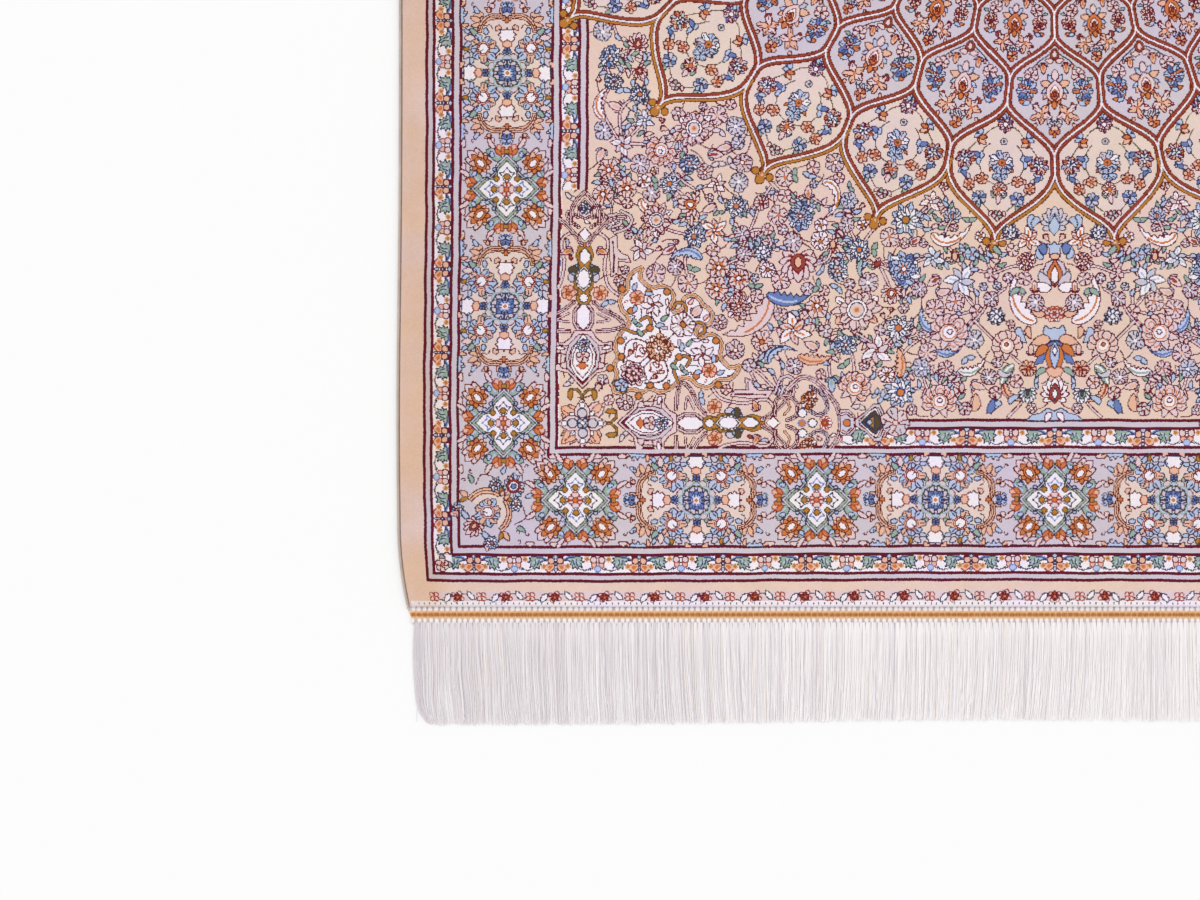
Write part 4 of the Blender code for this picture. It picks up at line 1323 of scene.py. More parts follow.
    def lines(self, chart: Chart, cells: Sequence[tuple[int, int]]) -> None:
        """The lattice: a white line between two brown ones, of which the outermost is golden."""
        sides = [(n, way, self.side(n, k, way)) for n, k in cells for way in (1, -1)]
        for n, way, side in sides:
            along = np.gradient(side)
            across = 1j * along / np.abs(along)
            thin = max(self.shrink ** (n / 2), 0.6)
            for hand in (1, -1):
                path = side + hand * self.line_room * thin * across
                chart.band(path, 1.8 * thin, MADDER, RUST)
                if n == 0 and hand != way:
                    chart.band(path[self.shared :], 2.0, GOLD, RUST)
        for n, _, side in sides:
            chart.line(side, LILAC, 1.8 * max(self.shrink ** (n / 2), 0.7))
            chart.line(side, IVORY)

    def draw(self, chart: Chart) -> None:
        """Draws the grounds, the flowers, the lattice of lines and the trefoils at its points."""
        around = range(-2, self.sectors // 4 + 3)
        cells = [(n, k) for n in range(self.rings) for k in around]
        for n, k in cells:
            chart.fill(np.concatenate([self.side(n, k, 1), self.side(n, k, -1)[::-1]]), LILAC if n else CREAM)
        for n, k in cells:
            out = self.out(self.bearing(n, k))
            scale = self.shrink ** (n - 1) if n else 1.0
            middle = self.next_middle * scale if n else self.first_middle
            ogee = chart.framed(middle * out, scale * out)
            if n >= self.single_from:
                self.single_flower(ogee)
            elif n:
                self.lilac_flowers(ogee, n > 1)
            else:
                self.cream_flowers(ogee)
        self.lines(chart, cells)
        for k in around:
            point = chart.framed(unit=self.out(self.bearing(0, k)))
            for at, size in ((646, 4.8), (640 + 8j, 3.9), (640 - 8j, 3.9)):
                point.disc(at, size, GOLD, RUST)
            point.dot(641, 3.6, GOLD)
            point.dot(641, 1.4, SALMON)
        self.hub(chart)


@dataclass
class Cartoon:
    """The weaver's drawing of the whole rug, one palette number for each knot."""

    outer_guard: GuardBorder = field(default_factory=lambda: GuardBorder(604, 950, 83.0))
    inner_guard: GuardBorder = field(default_factory=lambda: GuardBorder(477, 824, 87.7))

    def quarter(self) -> Chart:
        """Draws one quarter, in which column 0 and row 0 lie on the rug's middle lines."""
        chart = Chart.blank(HALF_COLUMNS, HALF_ROWS, PEACH)
        ground = Field()
        for part in (
            Stripes(), ground, self.outer_guard, self.inner_guard, MainBorder(), Medallion(), LotusTree(),
            Spandrel(),
        ):
            part.draw(chart)
        ground.fill_ground(chart)
        EndVine().draw(chart)
        return chart

    def knots(self) -> np.ndarray:
        """The whole rug, by row and column."""
        return self.quarter().unfold().knots


# ---------------------------------------------------------------- Blender


def linear(hex_colour: str) -> tuple[float, float, float, float]:
    """Turns an sRGB hex colour to linear."""
    parts = [int(hex_colour[i : i + 2], 16) / 255 for i in (0, 2, 4)]
    return (*[c / 12.92 if c <= 0.04045 else ((c + 0.055) / 1.055) ** 2.4 for c in parts], 1.0)


def add_node(tree: bpy.types.NodeTree, kind: str, inputs: dict[str, Any] | Sequence[Any] = (),
             **settings: Any) -> Any:
    """Adds a node to a tree, with its settings and its links.

    Args:
        tree: The shader or geometry tree.
        kind: The node's type, without the tree's own name in front.
        inputs: What goes into its sockets, by name or in order: a value, another node, which gives its first
            output, one of its sockets, several of these for a join, or None to leave a socket as it is.
        settings: The node's own options.

    Returns:
        The node.
    """
    node = tree.nodes.new(kind if "Node" in kind else tree.bl_idname.removesuffix("Tree") + kind)
    for name, value in settings.items():
        setattr(node, name, value)
    shown = [socket for socket in node.inputs if socket.enabled]
    named = isinstance(inputs, dict)
    sockets = [node.inputs[name] for name in inputs] if named else shown
    for socket, given in zip(sockets, inputs.values() if named else inputs):
        for value in given if isinstance(given, list) else [given]:
            if isinstance(value, bpy.types.Node):
                value = next(output for output in value.outputs if output.enabled)
            if isinstance(value, bpy.types.NodeSocket):
                tree.links.new(value, socket)
            elif value is not None:
                socket.default_value = value
    return node


def new_material(name: str) -> tuple[bpy.types.Material, Callable[..., Any]]:
    """An empty material, and what adds nodes to it."""
    made = bpy.data.materials.new(name)
    made.use_nodes = True
    made.node_tree.nodes.clear()
    return made, partial(add_node, made.node_tree)


def new_tree(name: str, **inputs: str) -> tuple[bpy.types.NodeTree, Callable[..., Any], Any]:
    """An empty geometry tree with named inputs, what adds nodes to it, and the node that gives the inputs."""
    tree = bpy.data.node_groups.new(name, "GeometryNodeTree")
    for key, kind in inputs.items():
        tree.interface.new_socket(key.replace("_", " "), in_out="INPUT", socket_type=f"NodeSocket{kind}")
    tree.interface.new_socket("Piece", in_out="OUTPUT", socket_type="NodeSocketGeometry")
    return tree, partial(add_node, tree), add_node(tree, "NodeGroupInput").outputs


def end_tree(tree: bpy.types.NodeTree, material: bpy.types.Material, *parts: Any) -> bpy.types.NodeTree:
    """Joins the parts, makes their instances real and dresses them."""
    joined = add_node(tree, "JoinGeometry", [list(parts)])
    real = add_node(tree, "RealizeInstances", [joined])
    add_node(tree, "NodeGroupOutput",
             [add_node(tree, "SetMaterial", {"Geometry": real, "Material": material})])
    return tree


def linked(name: str, mesh: bpy.types.Mesh) -> bpy.types.Object:
    """A linked object at the origin."""
    made = bpy.data.objects.new(name, mesh)
    bpy.context.scene.collection.objects.link(made)
    return made


def plain_mesh(name: str, vertices: np.ndarray, faces: Any = (), edges: Any = (),
               material: Any = None) -> bpy.types.Object:
    """A linked mesh object.

    Args:
        name: The piece's name.
        vertices: One row of x, y, z for each vertex.
        faces: Vertex numbers for each face.
        edges: Vertex numbers for each edge that no face has.
        material: What it wears.

    Returns:
        The object.
    """
    mesh = bpy.data.meshes.new(name)
    mesh.from_pydata(np.asarray(vertices).tolist(), np.asarray(edges).tolist(), np.asarray(faces).tolist())
    if material:
        mesh.materials.append(material)
    return linked(name, mesh)


def grown(name: str, source: bpy.types.Object, tree: bpy.types.NodeTree,
          sizes: dict[str, Any]) -> bpy.types.Object:
    """Runs a geometry tree over an object and keeps the result as a plain mesh.

    Args:
        name: The finished piece's name.
        source: The object that the tree starts from, which is removed.
        tree: The geometry tree.
        sizes: Values for its named inputs.

    Returns:
        The finished piece.
    """
    modifier = source.modifiers.new(tree.name, "NODES")
    modifier.node_group = tree
    for socket in tree.interface.items_tree:
        if socket.in_out == "INPUT" and socket.name in sizes:
            modifier[socket.identifier] = sizes[socket.name]
    graph = bpy.context.evaluated_depsgraph_get()
    mesh = bpy.data.meshes.new_from_object(source.evaluated_get(graph), depsgraph=graph)
    mesh.name = name
    bpy.data.objects.remove(source)
    return linked(name, mesh)


def line_source(paths: np.ndarray, **attributes: np.ndarray) -> bpy.types.Object:
    """Lines as a mesh of edges, for a geometry tree.

    Args:
        paths: Places by line, point and axis; every line has as many points.
        attributes: One number for each point of each line, by name.

    Returns:
        The linked object.
    """
    number = np.arange(paths[..., 0].size).reshape(paths.shape[:2])
    edges = np.stack([number[:, :-1], number[:, 1:]], -1).reshape(-1, 2)
    made = plain_mesh("lines", paths.reshape(-1, 3), edges=edges)
    for key, values in attributes.items():
        layer = made.data.attributes.new(key, "FLOAT", "POINT")
        layer.data.foreach_set("value", values.astype(np.float32).ravel())
    return made


@dataclass
class RugOutline:
    """The rug's outline and levels, as the part has them, in metres."""

    width: float = 1.000
    pile_length: float = 1.520
    pile_top: float = 0.0045
    shoulder: float = 0.0012
    side_cord: float = 0.0030
    weave_depth: float = 0.0125
    fringe: float = 0.0800
    gap: float = 0.0003
    widest: float = 0.620
    waist: float = 0.0019
    waist_spread: float = 0.130
    corner_start: float = 0.700
    locks: int = 150
    # how far each corner of the pile, and of the end weave past it, is drawn in
    corners: dict[tuple[int, int], tuple[float, float]] = field(
        default_factory=lambda: {
            (-1, -1): (0.0065, 0.0140),
            (1, -1): (0.0048, 0.0110),
            (-1, 1): (0.0052, 0.0115),
            (1, 1): (0.0060, 0.0125),
        }
    )

    @property
    def half_length(self) -> float:
        """Half the pile's length."""
        return self.pile_length / 2

    @property
    def weave_outer(self) -> float:
        """How far from the middle the end weave stops and the fringe starts."""
        return self.half_length + self.weave_depth

    def waisted(self, y: np.ndarray) -> np.ndarray:
        """Half the rug's width at y, before its corners are drawn in."""
        past = (np.abs(y) - self.widest) / self.waist_spread
        return self.width / 2 - self.waist * (1 - np.exp(-(past**2)))

    def corner_pull(self, side: int, y: np.ndarray) -> np.ndarray:
        """How far the corners of one side are drawn in at y."""
        share = np.clip((np.abs(y) - self.corner_start) / (self.half_length - self.corner_start), 0, 1)
        near, far = self.corners[side, -1][0], self.corners[side, 1][0]
        return np.where(y < 0, near, far) * share**2

    def half_width(self, side: int, y: np.ndarray) -> np.ndarray:
        """Distance from the middle line to the rug's outer edge."""
        return self.waisted(y) - self.corner_pull(side, y)

    def weave_ends(self, end: int, y: float) -> tuple[float, float]:
        """Where the end weave starts and stops across the rug at y."""
        share = min(max((abs(y) - self.half_length) / self.weave_depth, 0.0), 1.0)
        halves = []
        for side in (-1, 1):
            pile = float(self.half_width(side, np.array(end * self.half_length)))
            halves.append(pile + (self.width / 2 - self.corners[side, end][1] - pile) * share)
        return -halves[0], halves[1]


@dataclass(frozen=True)
class SilkPile:
    """Cut silk pile: single knots of flat colour, matt, under a faint cool sheen, in uneven dye lots; painted
    shade darkens the long sides.
    """

    roughness: float = 0.62
    sheen: float = 0.06
    specular: float = 0.06
    knot_shade: float = 0.10  # how much neighbouring knots differ in lightness
    abrash: float = 0.07  # how much the dye lots differ along the rug
    lots: tuple[float, ...] = (0.6, 9.0, 1.0)  # their noise is stretched across the rug
    mottle: float = 0.07  # how much the worn nap differs in patches
    patches: float = 55.0  # the scale of their noise
    nap_depth: float = 0.00012
    nap: float = 900.0  # the scale of its noise
    stray: float = 0.6  # how far, in knots, a cut tuft leans over its neighbour
    band_shade_from: float = 0.455  # painted shade: the plain band along each side, tinted darker and warmer
    band_shade_to: float = 0.472
    band_shade_tint: str = "FCF0E4"
    side_shade: float = 0.08  # painted shade: how much darker the long sides are than the middle
    side_shade_from: float = 0.36  # where that starts
    glow: tuple[float, ...] = (0.985, 0.98, 1.10, 1.0)  # the cool sheen that lies over the silk in patches
    glow_patches: float = 16.0

    def knot_number(self, add: Callable[..., Any], here: Any, chart: "KnotCells") -> Any:
        """Finds the palette number of the knot under a point.

        Args:
            add: What adds a node to the tree.
            here: The object's own coordinates.
            chart: How the mesh carries the knots.

        Returns:
            The node that gives the number: one digit of the cell's number for this part of the row.
        """
        uv = add("UVMap", uv_map=chart.uv_map)
        # the cut ends lean over their neighbours, so a knot's edge is a little ragged
        lean = add("TexNoise", {"Vector": here, "Scale": 0.8 / KNOT, "Detail": 0.0}).outputs["Color"]
        lean = add("VectorMath", [lean, (0.5,) * 3], operation="SUBTRACT")
        place = add("VectorMath", [lean, (2 * self.stray,) * 3, uv], operation="MULTIPLY_ADD")
        place = add("VectorMath", [place, (chart.columns - 0.5, chart.rows - 0.5, 0.0)], operation="MINIMUM")
        place = add("VectorMath", [add("VectorMath", [place], operation="MAXIMUM")], operation="FLOOR")
        column, row, _ = add("SeparateXYZ", [place]).outputs
        half = add("Math", [column, chart.digits - 0.5], operation="GREATER_THAN")
        index = add("Math", [row, 2.0, half], operation="MULTIPLY_ADD")
        word: Any = 0.0
        for vector in range(chart.vectors):
            attribute = add("Attribute", attribute_name=chart.attribute(vector))
            for axis, part in enumerate(add("SeparateXYZ", [attribute.outputs["Vector"]]).outputs):
                chosen = add("Math", [index, 3.0 * vector + axis, 0.5], operation="COMPARE")
                word = add("Math", [part, chosen, word], operation="MULTIPLY_ADD")
        digit = add("Math", [half, -float(chart.digits), column], operation="MULTIPLY_ADD")
        for place_value in range(1, chart.digits):
            past = add("Math", [digit, place_value - 0.5], operation="GREATER_THAN")
            share = add("Math", [past, -15 / 16, 1.0], operation="MULTIPLY_ADD")
            word = add("Math", [word, share], operation="MULTIPLY")
        word = add("Math", [word], operation="FLOOR")
        tens = add("Math", [add("Math", [word, 16.0], operation="DIVIDE")], operation="FLOOR")
        return add("Math", [tens, -16.0, word], operation="MULTIPLY_ADD")

    def material(self, chart: "KnotCells") -> bpy.types.Material:
        """Builds the material, which reads the knots' colours from the mesh."""
        made, add = new_material("cut silk pile")
        here = add("TexCoord").outputs["Object"]
        number = add("Math", [self.knot_number(add, here, chart), 0.5], operation="ADD")
        ramp = add("ValToRGB", [add("Math", [number, 16.0], operation="DIVIDE")])
        ramp.color_ramp.interpolation = "CONSTANT"
        stops = ramp.color_ramp.elements
        while len(stops) < len(Ink):
            stops.new(0.5)
        for ink in Ink:
            stops[ink].position, stops[ink].color = ink / 16, linear(SILK_HEX[ink])
        # the dye lots, the worn nap and the single knots differ a little in lightness
        lots = add("Mapping", {"Vector": here, "Scale": self.lots})
        abrash = add("TexNoise", {"Vector": lots, "Scale": 1.0, "Detail": 3.0})
        mottle = add("TexNoise", {"Vector": here, "Scale": self.patches, "Detail": 3.0, "Roughness": 0.6})
        knots = add("VectorMath", [here, (1 / KNOT,) * 3], operation="MULTIPLY")
        single = add("TexWhiteNoise", [add("VectorMath", [knots], operation="FLOOR")])
        shade: Any = 1.0 - self.abrash - self.mottle - self.knot_shade / 2
        for noise, depth in ((abrash, 2 * self.abrash), (mottle, 2 * self.mottle), (single, self.knot_shade)):
            shade = add("Math", [noise, depth, shade], operation="MULTIPLY_ADD")
        across = add("Math", [add("SeparateXYZ", [here])], operation="ABSOLUTE")
        # painted shade: the long sides are drawn darker than the middle
        side = add("MapRange", [across, self.side_shade_from, self.band_shade_to, 1.0, 1.0 - self.side_shade])
        shade = add("Math", [shade, side], operation="MULTIPLY")
        # painted shade tints the plain band, and the sheen lies over the silk in cool patches
        band = add("MapRange", [across, self.band_shade_from, self.band_shade_to])
        tint = add("Mix", [band, (1.0,) * 4, linear(self.band_shade_tint)], data_type="RGBA")
        cool = add("TexNoise", {"Vector": here, "Scale": self.glow_patches, "Detail": 3.0})
        cool = add("MapRange", [cool, 0.4, 0.65])
        tint = add("Mix", [cool, tint, self.glow], data_type="RGBA")
        dyed = add("VectorMath", [ramp, tint], operation="MULTIPLY")
        nap = add("TexNoise", {"Vector": here, "Scale": self.nap, "Detail": 2.0})
        tufts = add("Math", [single, 0.5, nap], operation="MULTIPLY_ADD")
        silk = add("BsdfPrincipled", {
            "Base Color": add("VectorMath", {"Vector": dyed, "Scale": shade}, operation="SCALE"),
            "Roughness": self.roughness,
            "Sheen Weight": self.sheen,
            "Sheen Roughness": 0.4,
            "Specular IOR Level": self.specular,
            "Normal": add("Bump", {"Strength": 0.6, "Distance": self.nap_depth, "Height": tufts}),
        })
        add("OutputMaterial", [silk])
        return made


@dataclass
class KnotCells:
    """How the pile's mesh carries the cartoon: each face holds a block of knots, six colours to a number."""

    columns: int = 12
    rows: int = 6
    digits: int = 6
    vectors: int = 4
    uv_map: str = "knots in cell"

    def attribute(self, vector: int) -> str:
        """The name of one of the face attributes."""
        return f"knots_{vector}"

    def packed(self, knots: np.ndarray) -> np.ndarray:
        """Packs the cartoon's knots into three numbers for each vector of each cell.

        Args:
            knots: Palette numbers by row and column.

        Returns:
            Numbers by cell, vector and axis.
        """
        high, wide = knots.shape[0] // self.rows, knots.shape[1] // self.columns
        blocks = knots.reshape(high, self.rows, wide, self.columns // self.digits, self.digits)
        words = (blocks * 16.0 ** np.arange(self.digits)).sum(-1).transpose(0, 2, 1, 3)
        return words.reshape(high * wide, self.vectors, 3)


@dataclass
class KnottedPile:
    """The knotted rug: one closed sheet of even thickness whose cut edge leans in."""

    outline: RugOutline
    cells: KnotCells
    wander: float = 0.00018  # how far a drawn line strays from straight
    waver: float = 0.0007  # how far the end borders wave
    waver_reach: float = 0.10  # and over what distance from the end that dies out
    calm: float = 0.012  # so near an edge nothing strays, for the outline is the part's
    pull_reach: float = 0.045  # how deep the drawn-in corners are felt
    bulge: float = 0.0017  # how far the borders lean out near the corners
    bulge_at: tuple[float, float] = (0.77, 0.63)  # a share of half the width, and metres along the rug
    bulge_spread: tuple[float, float] = (0.14, 0.16)

    def grid(self, wide: int, high: int) -> tuple[np.ndarray, np.ndarray]:
        """Where each corner of each cell lies, after the rug's unevenness."""
        o = self.outline
        u = np.linspace(-1, 1, wide + 1)[None, :]
        y = np.linspace(-o.half_length, o.half_length, high + 1)[:, None]
        waisted = o.waisted(y) - o.side_cord - o.gap
        x = u * waisted
        depth = waisted * (1 - np.abs(u))
        for side in (-1, 1):
            pull = o.corner_pull(side, y) * np.exp(-depth / self.pull_reach)
            x = np.where(u * side > 0, x - side * pull, x)
        (across, along), (wide_spread, long_spread) = self.bulge_at, self.bulge_spread
        leaning = np.exp(-(((np.abs(y) - along) / long_spread) ** 2))
        leaning = leaning * np.exp(-(((np.abs(u) - across) / wide_spread) ** 2))
        x = x + self.bulge * leaning * np.sign(u)
        end_room = o.half_length - np.abs(y)
        near_end = np.clip(end_room / self.calm, 0, 1)
        fade = near_end * np.clip(depth / self.calm, 0, 1)
        waver = self.waver * np.sin(11.0 * x + 0.8 * np.sign(y)) * np.exp(-end_room / self.waver_reach)
        waver = waver * near_end
        stray_x = self.wander * (np.sin(190 * y + 1.3) + np.sin(83 * y + 60 * x)) * fade
        stray_y = self.wander * (np.sin(170 * x + 0.4) + np.sin(71 * x - 90 * y)) * fade
        return x + stray_x, y + waver * np.sign(y) + stray_y + 0 * x

    def build(self, knots: np.ndarray) -> bpy.types.Object:
        """Makes the sheet, with the cartoon on its faces, on the pile and on the back alike."""
        o = self.outline
        high, wide = knots.shape[0] // self.cells.rows, knots.shape[1] // self.cells.columns
        x, y = self.grid(wide, high)
        # the pile's rim is set in by the shoulder
        top_x = np.clip(x, x[:, :1] + o.shoulder, x[:, -1:] - o.shoulder).ravel()
        top_y = np.clip(y, y[0].max() + o.shoulder, y[-1].min() - o.shoulder).ravel()
        number = np.arange(x.size).reshape(x.shape)
        loop = np.concatenate([number[0, :-1], number[:-1, -1], number[-1, :0:-1], number[:0:-1, 0]])
        x, y = x.ravel(), y.ravel()
        places = [(top_x, top_y, o.pile_top + 0 * x), (x, y, 0 * x),
                  (x[loop], y[loop], o.pile_top - o.shoulder + 0 * x[loop])]
        quads = np.stack([number[:-1, :-1], number[:-1, 1:], number[1:, 1:], number[1:, :-1]], -1)
        quads = quads.reshape(-1, 4)
        after, belt = np.roll(loop, -1), 2 * x.size + np.arange(len(loop))
        belt_after = np.roll(belt, -1)
        faces = np.concatenate([
            quads,
            quads[:, ::-1] + x.size,
            np.column_stack([belt, belt_after, after, loop]),
            np.column_stack([loop + x.size, after + x.size, belt_after, belt]),
        ])
        vertices = np.concatenate([np.column_stack(place) for place in places])
        made = plain_mesh("silk_knotted_pile", vertices, faces, material=SilkPile().material(self.cells))
        # the rim takes the knots of the cell beside it
        beside = np.minimum(loop // (wide + 1), high - 1) * wide + np.minimum(loop % (wide + 1), wide - 1)
        self.chart_faces(made.data, self.cells.packed(knots), beside)
        return made

    def chart_faces(self, mesh: bpy.types.Mesh, words: np.ndarray, beside: np.ndarray) -> None:
        """Writes the cartoon to the faces and lays out the two UV maps.

        Args:
            mesh: The sheet, whose faces are the pile's, the back's and two rows of rim.
            words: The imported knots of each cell.
            beside: The cell beside each face of a row of rim.
        """
        cells = self.cells
        per_face = np.concatenate([words, words, words[beside], words[beside]])
        for vector in range(cells.vectors):
            layer = mesh.attributes.new(cells.attribute(vector), "FLOAT_VECTOR", "FACE")
            layer.data.foreach_set("vector", per_face[:, vector].astype(np.float32).ravel())
        corners = np.array([(0, 0), (cells.columns, 0), (cells.columns, cells.rows), (0, cells.rows)], float)
        inside, under = np.tile(corners, (len(words), 1)), np.tile(corners[::-1], (len(words), 1))
        knot_places = np.concatenate([inside, under, np.full((8 * len(beside), 2), 0.5)])
        # a flat layout for the baked picture
        corner_vertex = np.empty(len(mesh.loops), np.int32)
        mesh.loops.foreach_get("vertex_index", corner_vertex)
        places = np.empty(3 * len(mesh.vertices), np.float32)
        mesh.vertices.foreach_get("co", places)
        flat = places.reshape(-1, 3)[corner_vertex, :2]
        flat = 0.002 + 0.996 * (flat - flat.min(0)) / np.ptp(flat, axis=0)
        for name, uv in ((cells.uv_map, knot_places), ("OFBake", flat)):
            mesh.uv_layers.new(name=name).data.foreach_set("uv", uv.astype(np.float32).ravel())


@dataclass(frozen=True)
class LooseSilk:
    """Loose white silk warps, hardly twisted: bright threads, greyer ones as painted shade in the hollows and
    towards the matted corner, a few yellowed.
    """

    light: str = "FEF8F9"
    shade: str = "DCD3D8"
    yellowed: str = "EFE3CC"
    roughness: float = 0.5

    def material(self) -> bpy.types.Material:
        """Builds the material. The point attribute "tone" tells the threads apart."""
        made, add = new_material("loose white silk")
        ramp = add("ValToRGB", [add("Attribute", attribute_name="tone").outputs["Fac"]])
        stops = ramp.color_ramp.elements
        stops[0].color = linear(self.shade)
        stops[1].position, stops[1].color = 0.45, linear(self.light)
        for position, colour in ((0.965, self.light), (0.97, self.yellowed), (1.0, self.yellowed)):
            stops.new(position).color = linear(colour)
        silk = {"Base Color": ramp, "Roughness": self.roughness, "Sheen Weight": 0.3}
        add("OutputMaterial", [add("BsdfPrincipled", silk)])
        return made


@dataclass
class Fringe:
    """The loose warps past one end: they leave the weave in bundles and spread into a straight curtain."""

    outline: RugOutline
    end: int
    bundles: int = 222
    threads_in_bundle: int = 12
    points: int = 11
    thread: float = 0.00048  # diameter of one warp thread
    overlap: float = 0.0006  # how far the threads start inside the weave
    root_height: float = 0.0011
    drift: float = 0.0009  # how far clumps of threads drift, and single ones stray from them
    clump: float = 0.0065
    loosened: float = 0.0045  # how far a thread that has left its clump lies off
    loosened_share: float = 0.05
    hollow_share: float = 0.13  # threads that lie in a hollow, in shade
    yellowed_share: float = 0.012
    bowed: float = 0.0022  # how far the outermost threads bow out
    curled: float = 0.0075  # and how far their tips curl in
    matted_from: float = 0.62  # the share of half the width past which one corner is matted
    flatness: tuple[float, float, float] = (1.0, 0.35, 1.0)  # a hardly twisted thread lies flat
    seed: int = 11

    def sway(self, place: np.ndarray) -> np.ndarray:
        """How far the tips lean sideways for a place from -1 to 1 across the rug, as the part's locks do."""
        return 0.0030 * np.sin(5.3 * place + self.end) + 0.0012 * np.sin(17.0 * place + 2 * self.end)

    def curl(self, place: np.ndarray, along: np.ndarray) -> np.ndarray:
        """How the outermost threads bow out and curl back in, and how one corner is matted and lies askew."""
        corner = np.clip((np.abs(place) - 0.950) / 0.022, 0, 1) * np.sign(place)
        bowed = corner * (self.bowed * np.sin(math.pi * along) - self.curled * along**8)
        matted = np.clip((self.end * place - self.matted_from) / 0.33, 0, 1)
        wavy = 0.0009 * np.sin(9.0 * along + 55.0 * place) * along
        return bowed + matted * (wavy - self.end * 0.0015 * along)

    def length(self, place: np.ndarray) -> np.ndarray:
        """How long the threads are, as the part's locks are."""
        lock = (place + 1) / 2 * self.outline.locks
        share = 0.955 + 0.022 * np.sin(4.1 * place + 1.3 * self.end)
        ripple = 0.006 * np.sin(2.399 * lock) * np.cos(0.7 * lock)
        return self.outline.fringe * np.minimum(share + ripple, 1.0)

    def paths(self) -> tuple[np.ndarray, dict[str, np.ndarray]]:
        """Draws every thread.

        Returns:
            The threads' points, and their tone and thickness.
        """
        o, draw = self.outline, np.random.default_rng(self.seed + self.end)
        each = self.threads_in_bundle
        count = self.bundles * each
        left, right = o.weave_ends(self.end, o.weave_outer)
        pitch = (right - left) / self.bundles
        bundle = np.repeat((np.arange(self.bundles) + 0.5) / self.bundles, each)[:, None]
        spread = np.tile((np.arange(each) + 0.5) / each - 0.5, self.bundles)[:, None]
        knot_x = left + (right - left) * bundle
        loose_x = knot_x + spread * pitch
        place = loose_x / (o.width / 2)
        along = np.linspace(0, 1, self.points)[None, :]
        opened = np.clip(along / 0.10, 0, 1) ** 0.6  # the bundle opens over the first few millimetres
        x = knot_x + spread * pitch * (0.85 + 0.15 * opened)
        x = x + self.sway(place) * along**2 + self.curl(place, along)
        # clumps drift together, single threads stray from them
        drift = np.interp(loose_x / self.clump, np.arange(-600, 600), draw.normal(0, 1, 1200))
        stray = draw.normal(0, 1, (count, 3))
        x = x + self.drift * drift * along**1.5 + self.drift * stray[:, :1] * along**1.3
        x = x + 0.00035 * np.sin(along * (5 + 3 * stray[:, 1:2]) + 6 * stray[:, 2:3]) * along
        loosened = draw.random(count) < self.loosened_share
        x = x + np.where(loosened, draw.normal(0, self.loosened, count), 0)[:, None] * along**1.6
        length = self.length(place) * (1 - np.abs(draw.normal(0, 0.006, count)))[:, None]
        reach = length * along - 0.0012 * np.abs(stray[:, :1]) * along**4
        y = self.end * (o.weave_outer - self.overlap + reach)
        z = self.root_height - 0.0006 * np.clip(along / 0.2, 0, 1) + 0.0004 * draw.random(count)[:, None]
        z = np.maximum(z, self.thread / 2 + 0.00005)
        # painted shade, deeper and deeper towards the matted corner, and deepest at its very edge
        outwards = self.end * place[:, 0]
        darkened = np.clip((outwards - 0.2) / 0.75, 0, 1) + np.clip((outwards - 0.955) / 0.01, 0, 1)
        hollow = draw.random(count) < self.hollow_share
        tone = np.clip(draw.normal(0.5, 0.1, count) - 0.3 * darkened - 0.4 * hollow, 0, 0.96)
        tone = np.where(draw.random(count) < self.yellowed_share, 1.0, tone)
        swell = np.interp(along, [0, 0.06, 0.9, 1.0], [1.25, 1.0, 1.0, 0.7]) * np.ones((count, 1))
        return np.stack([x, y, z], -1), {"tone": np.repeat(tone, self.points), "swell": swell}

    def tree(self, material: bpy.types.Material) -> bpy.types.NodeTree:
        """The geometry tree that turns lines into flat strands, thickened by the point attribute "swell"."""
        tree, add, given = new_tree("warp threads", Lines="Geometry", Strand_radius="Float",
                                    Flatness="Vector")
        swell = add("InputNamedAttribute", ["swell"], data_type="FLOAT")
        lines = add("SetCurveNormal", {"Curve": add("MeshToCurve", {"Mesh": given["Lines"]})}, mode="Z_UP")
        sized = add("SetCurveRadius", {"Curve": lines, "Radius": swell})
        section = add("CurvePrimitiveCircle", {"Resolution": 3, "Radius": given["Strand radius"]})
        ridged = add("Transform", {"Geometry": section, "Rotation": (0.0, 0.0, math.pi / 2)})
        flat = add("Transform", {"Geometry": ridged, "Scale": given["Flatness"]})
        strands = add("CurveToMesh", {"Curve": sized, "Profile Curve": flat, "Fill Caps": True})
        return end_tree(tree, material, add("SetShadeSmooth", {"Geometry": strands, "Shade Smooth": False}))

    def build(self, material: bpy.types.Material) -> bpy.types.Object:
        """Makes the threads."""
        paths, attributes = self.paths()
        sizes = {"Strand radius": self.thread / 2, "Flatness": self.flatness}
        lines = line_source(paths, **attributes)
        return grown(f"fringe_threads_{ENDS[self.end]}", lines, self.tree(material), sizes)


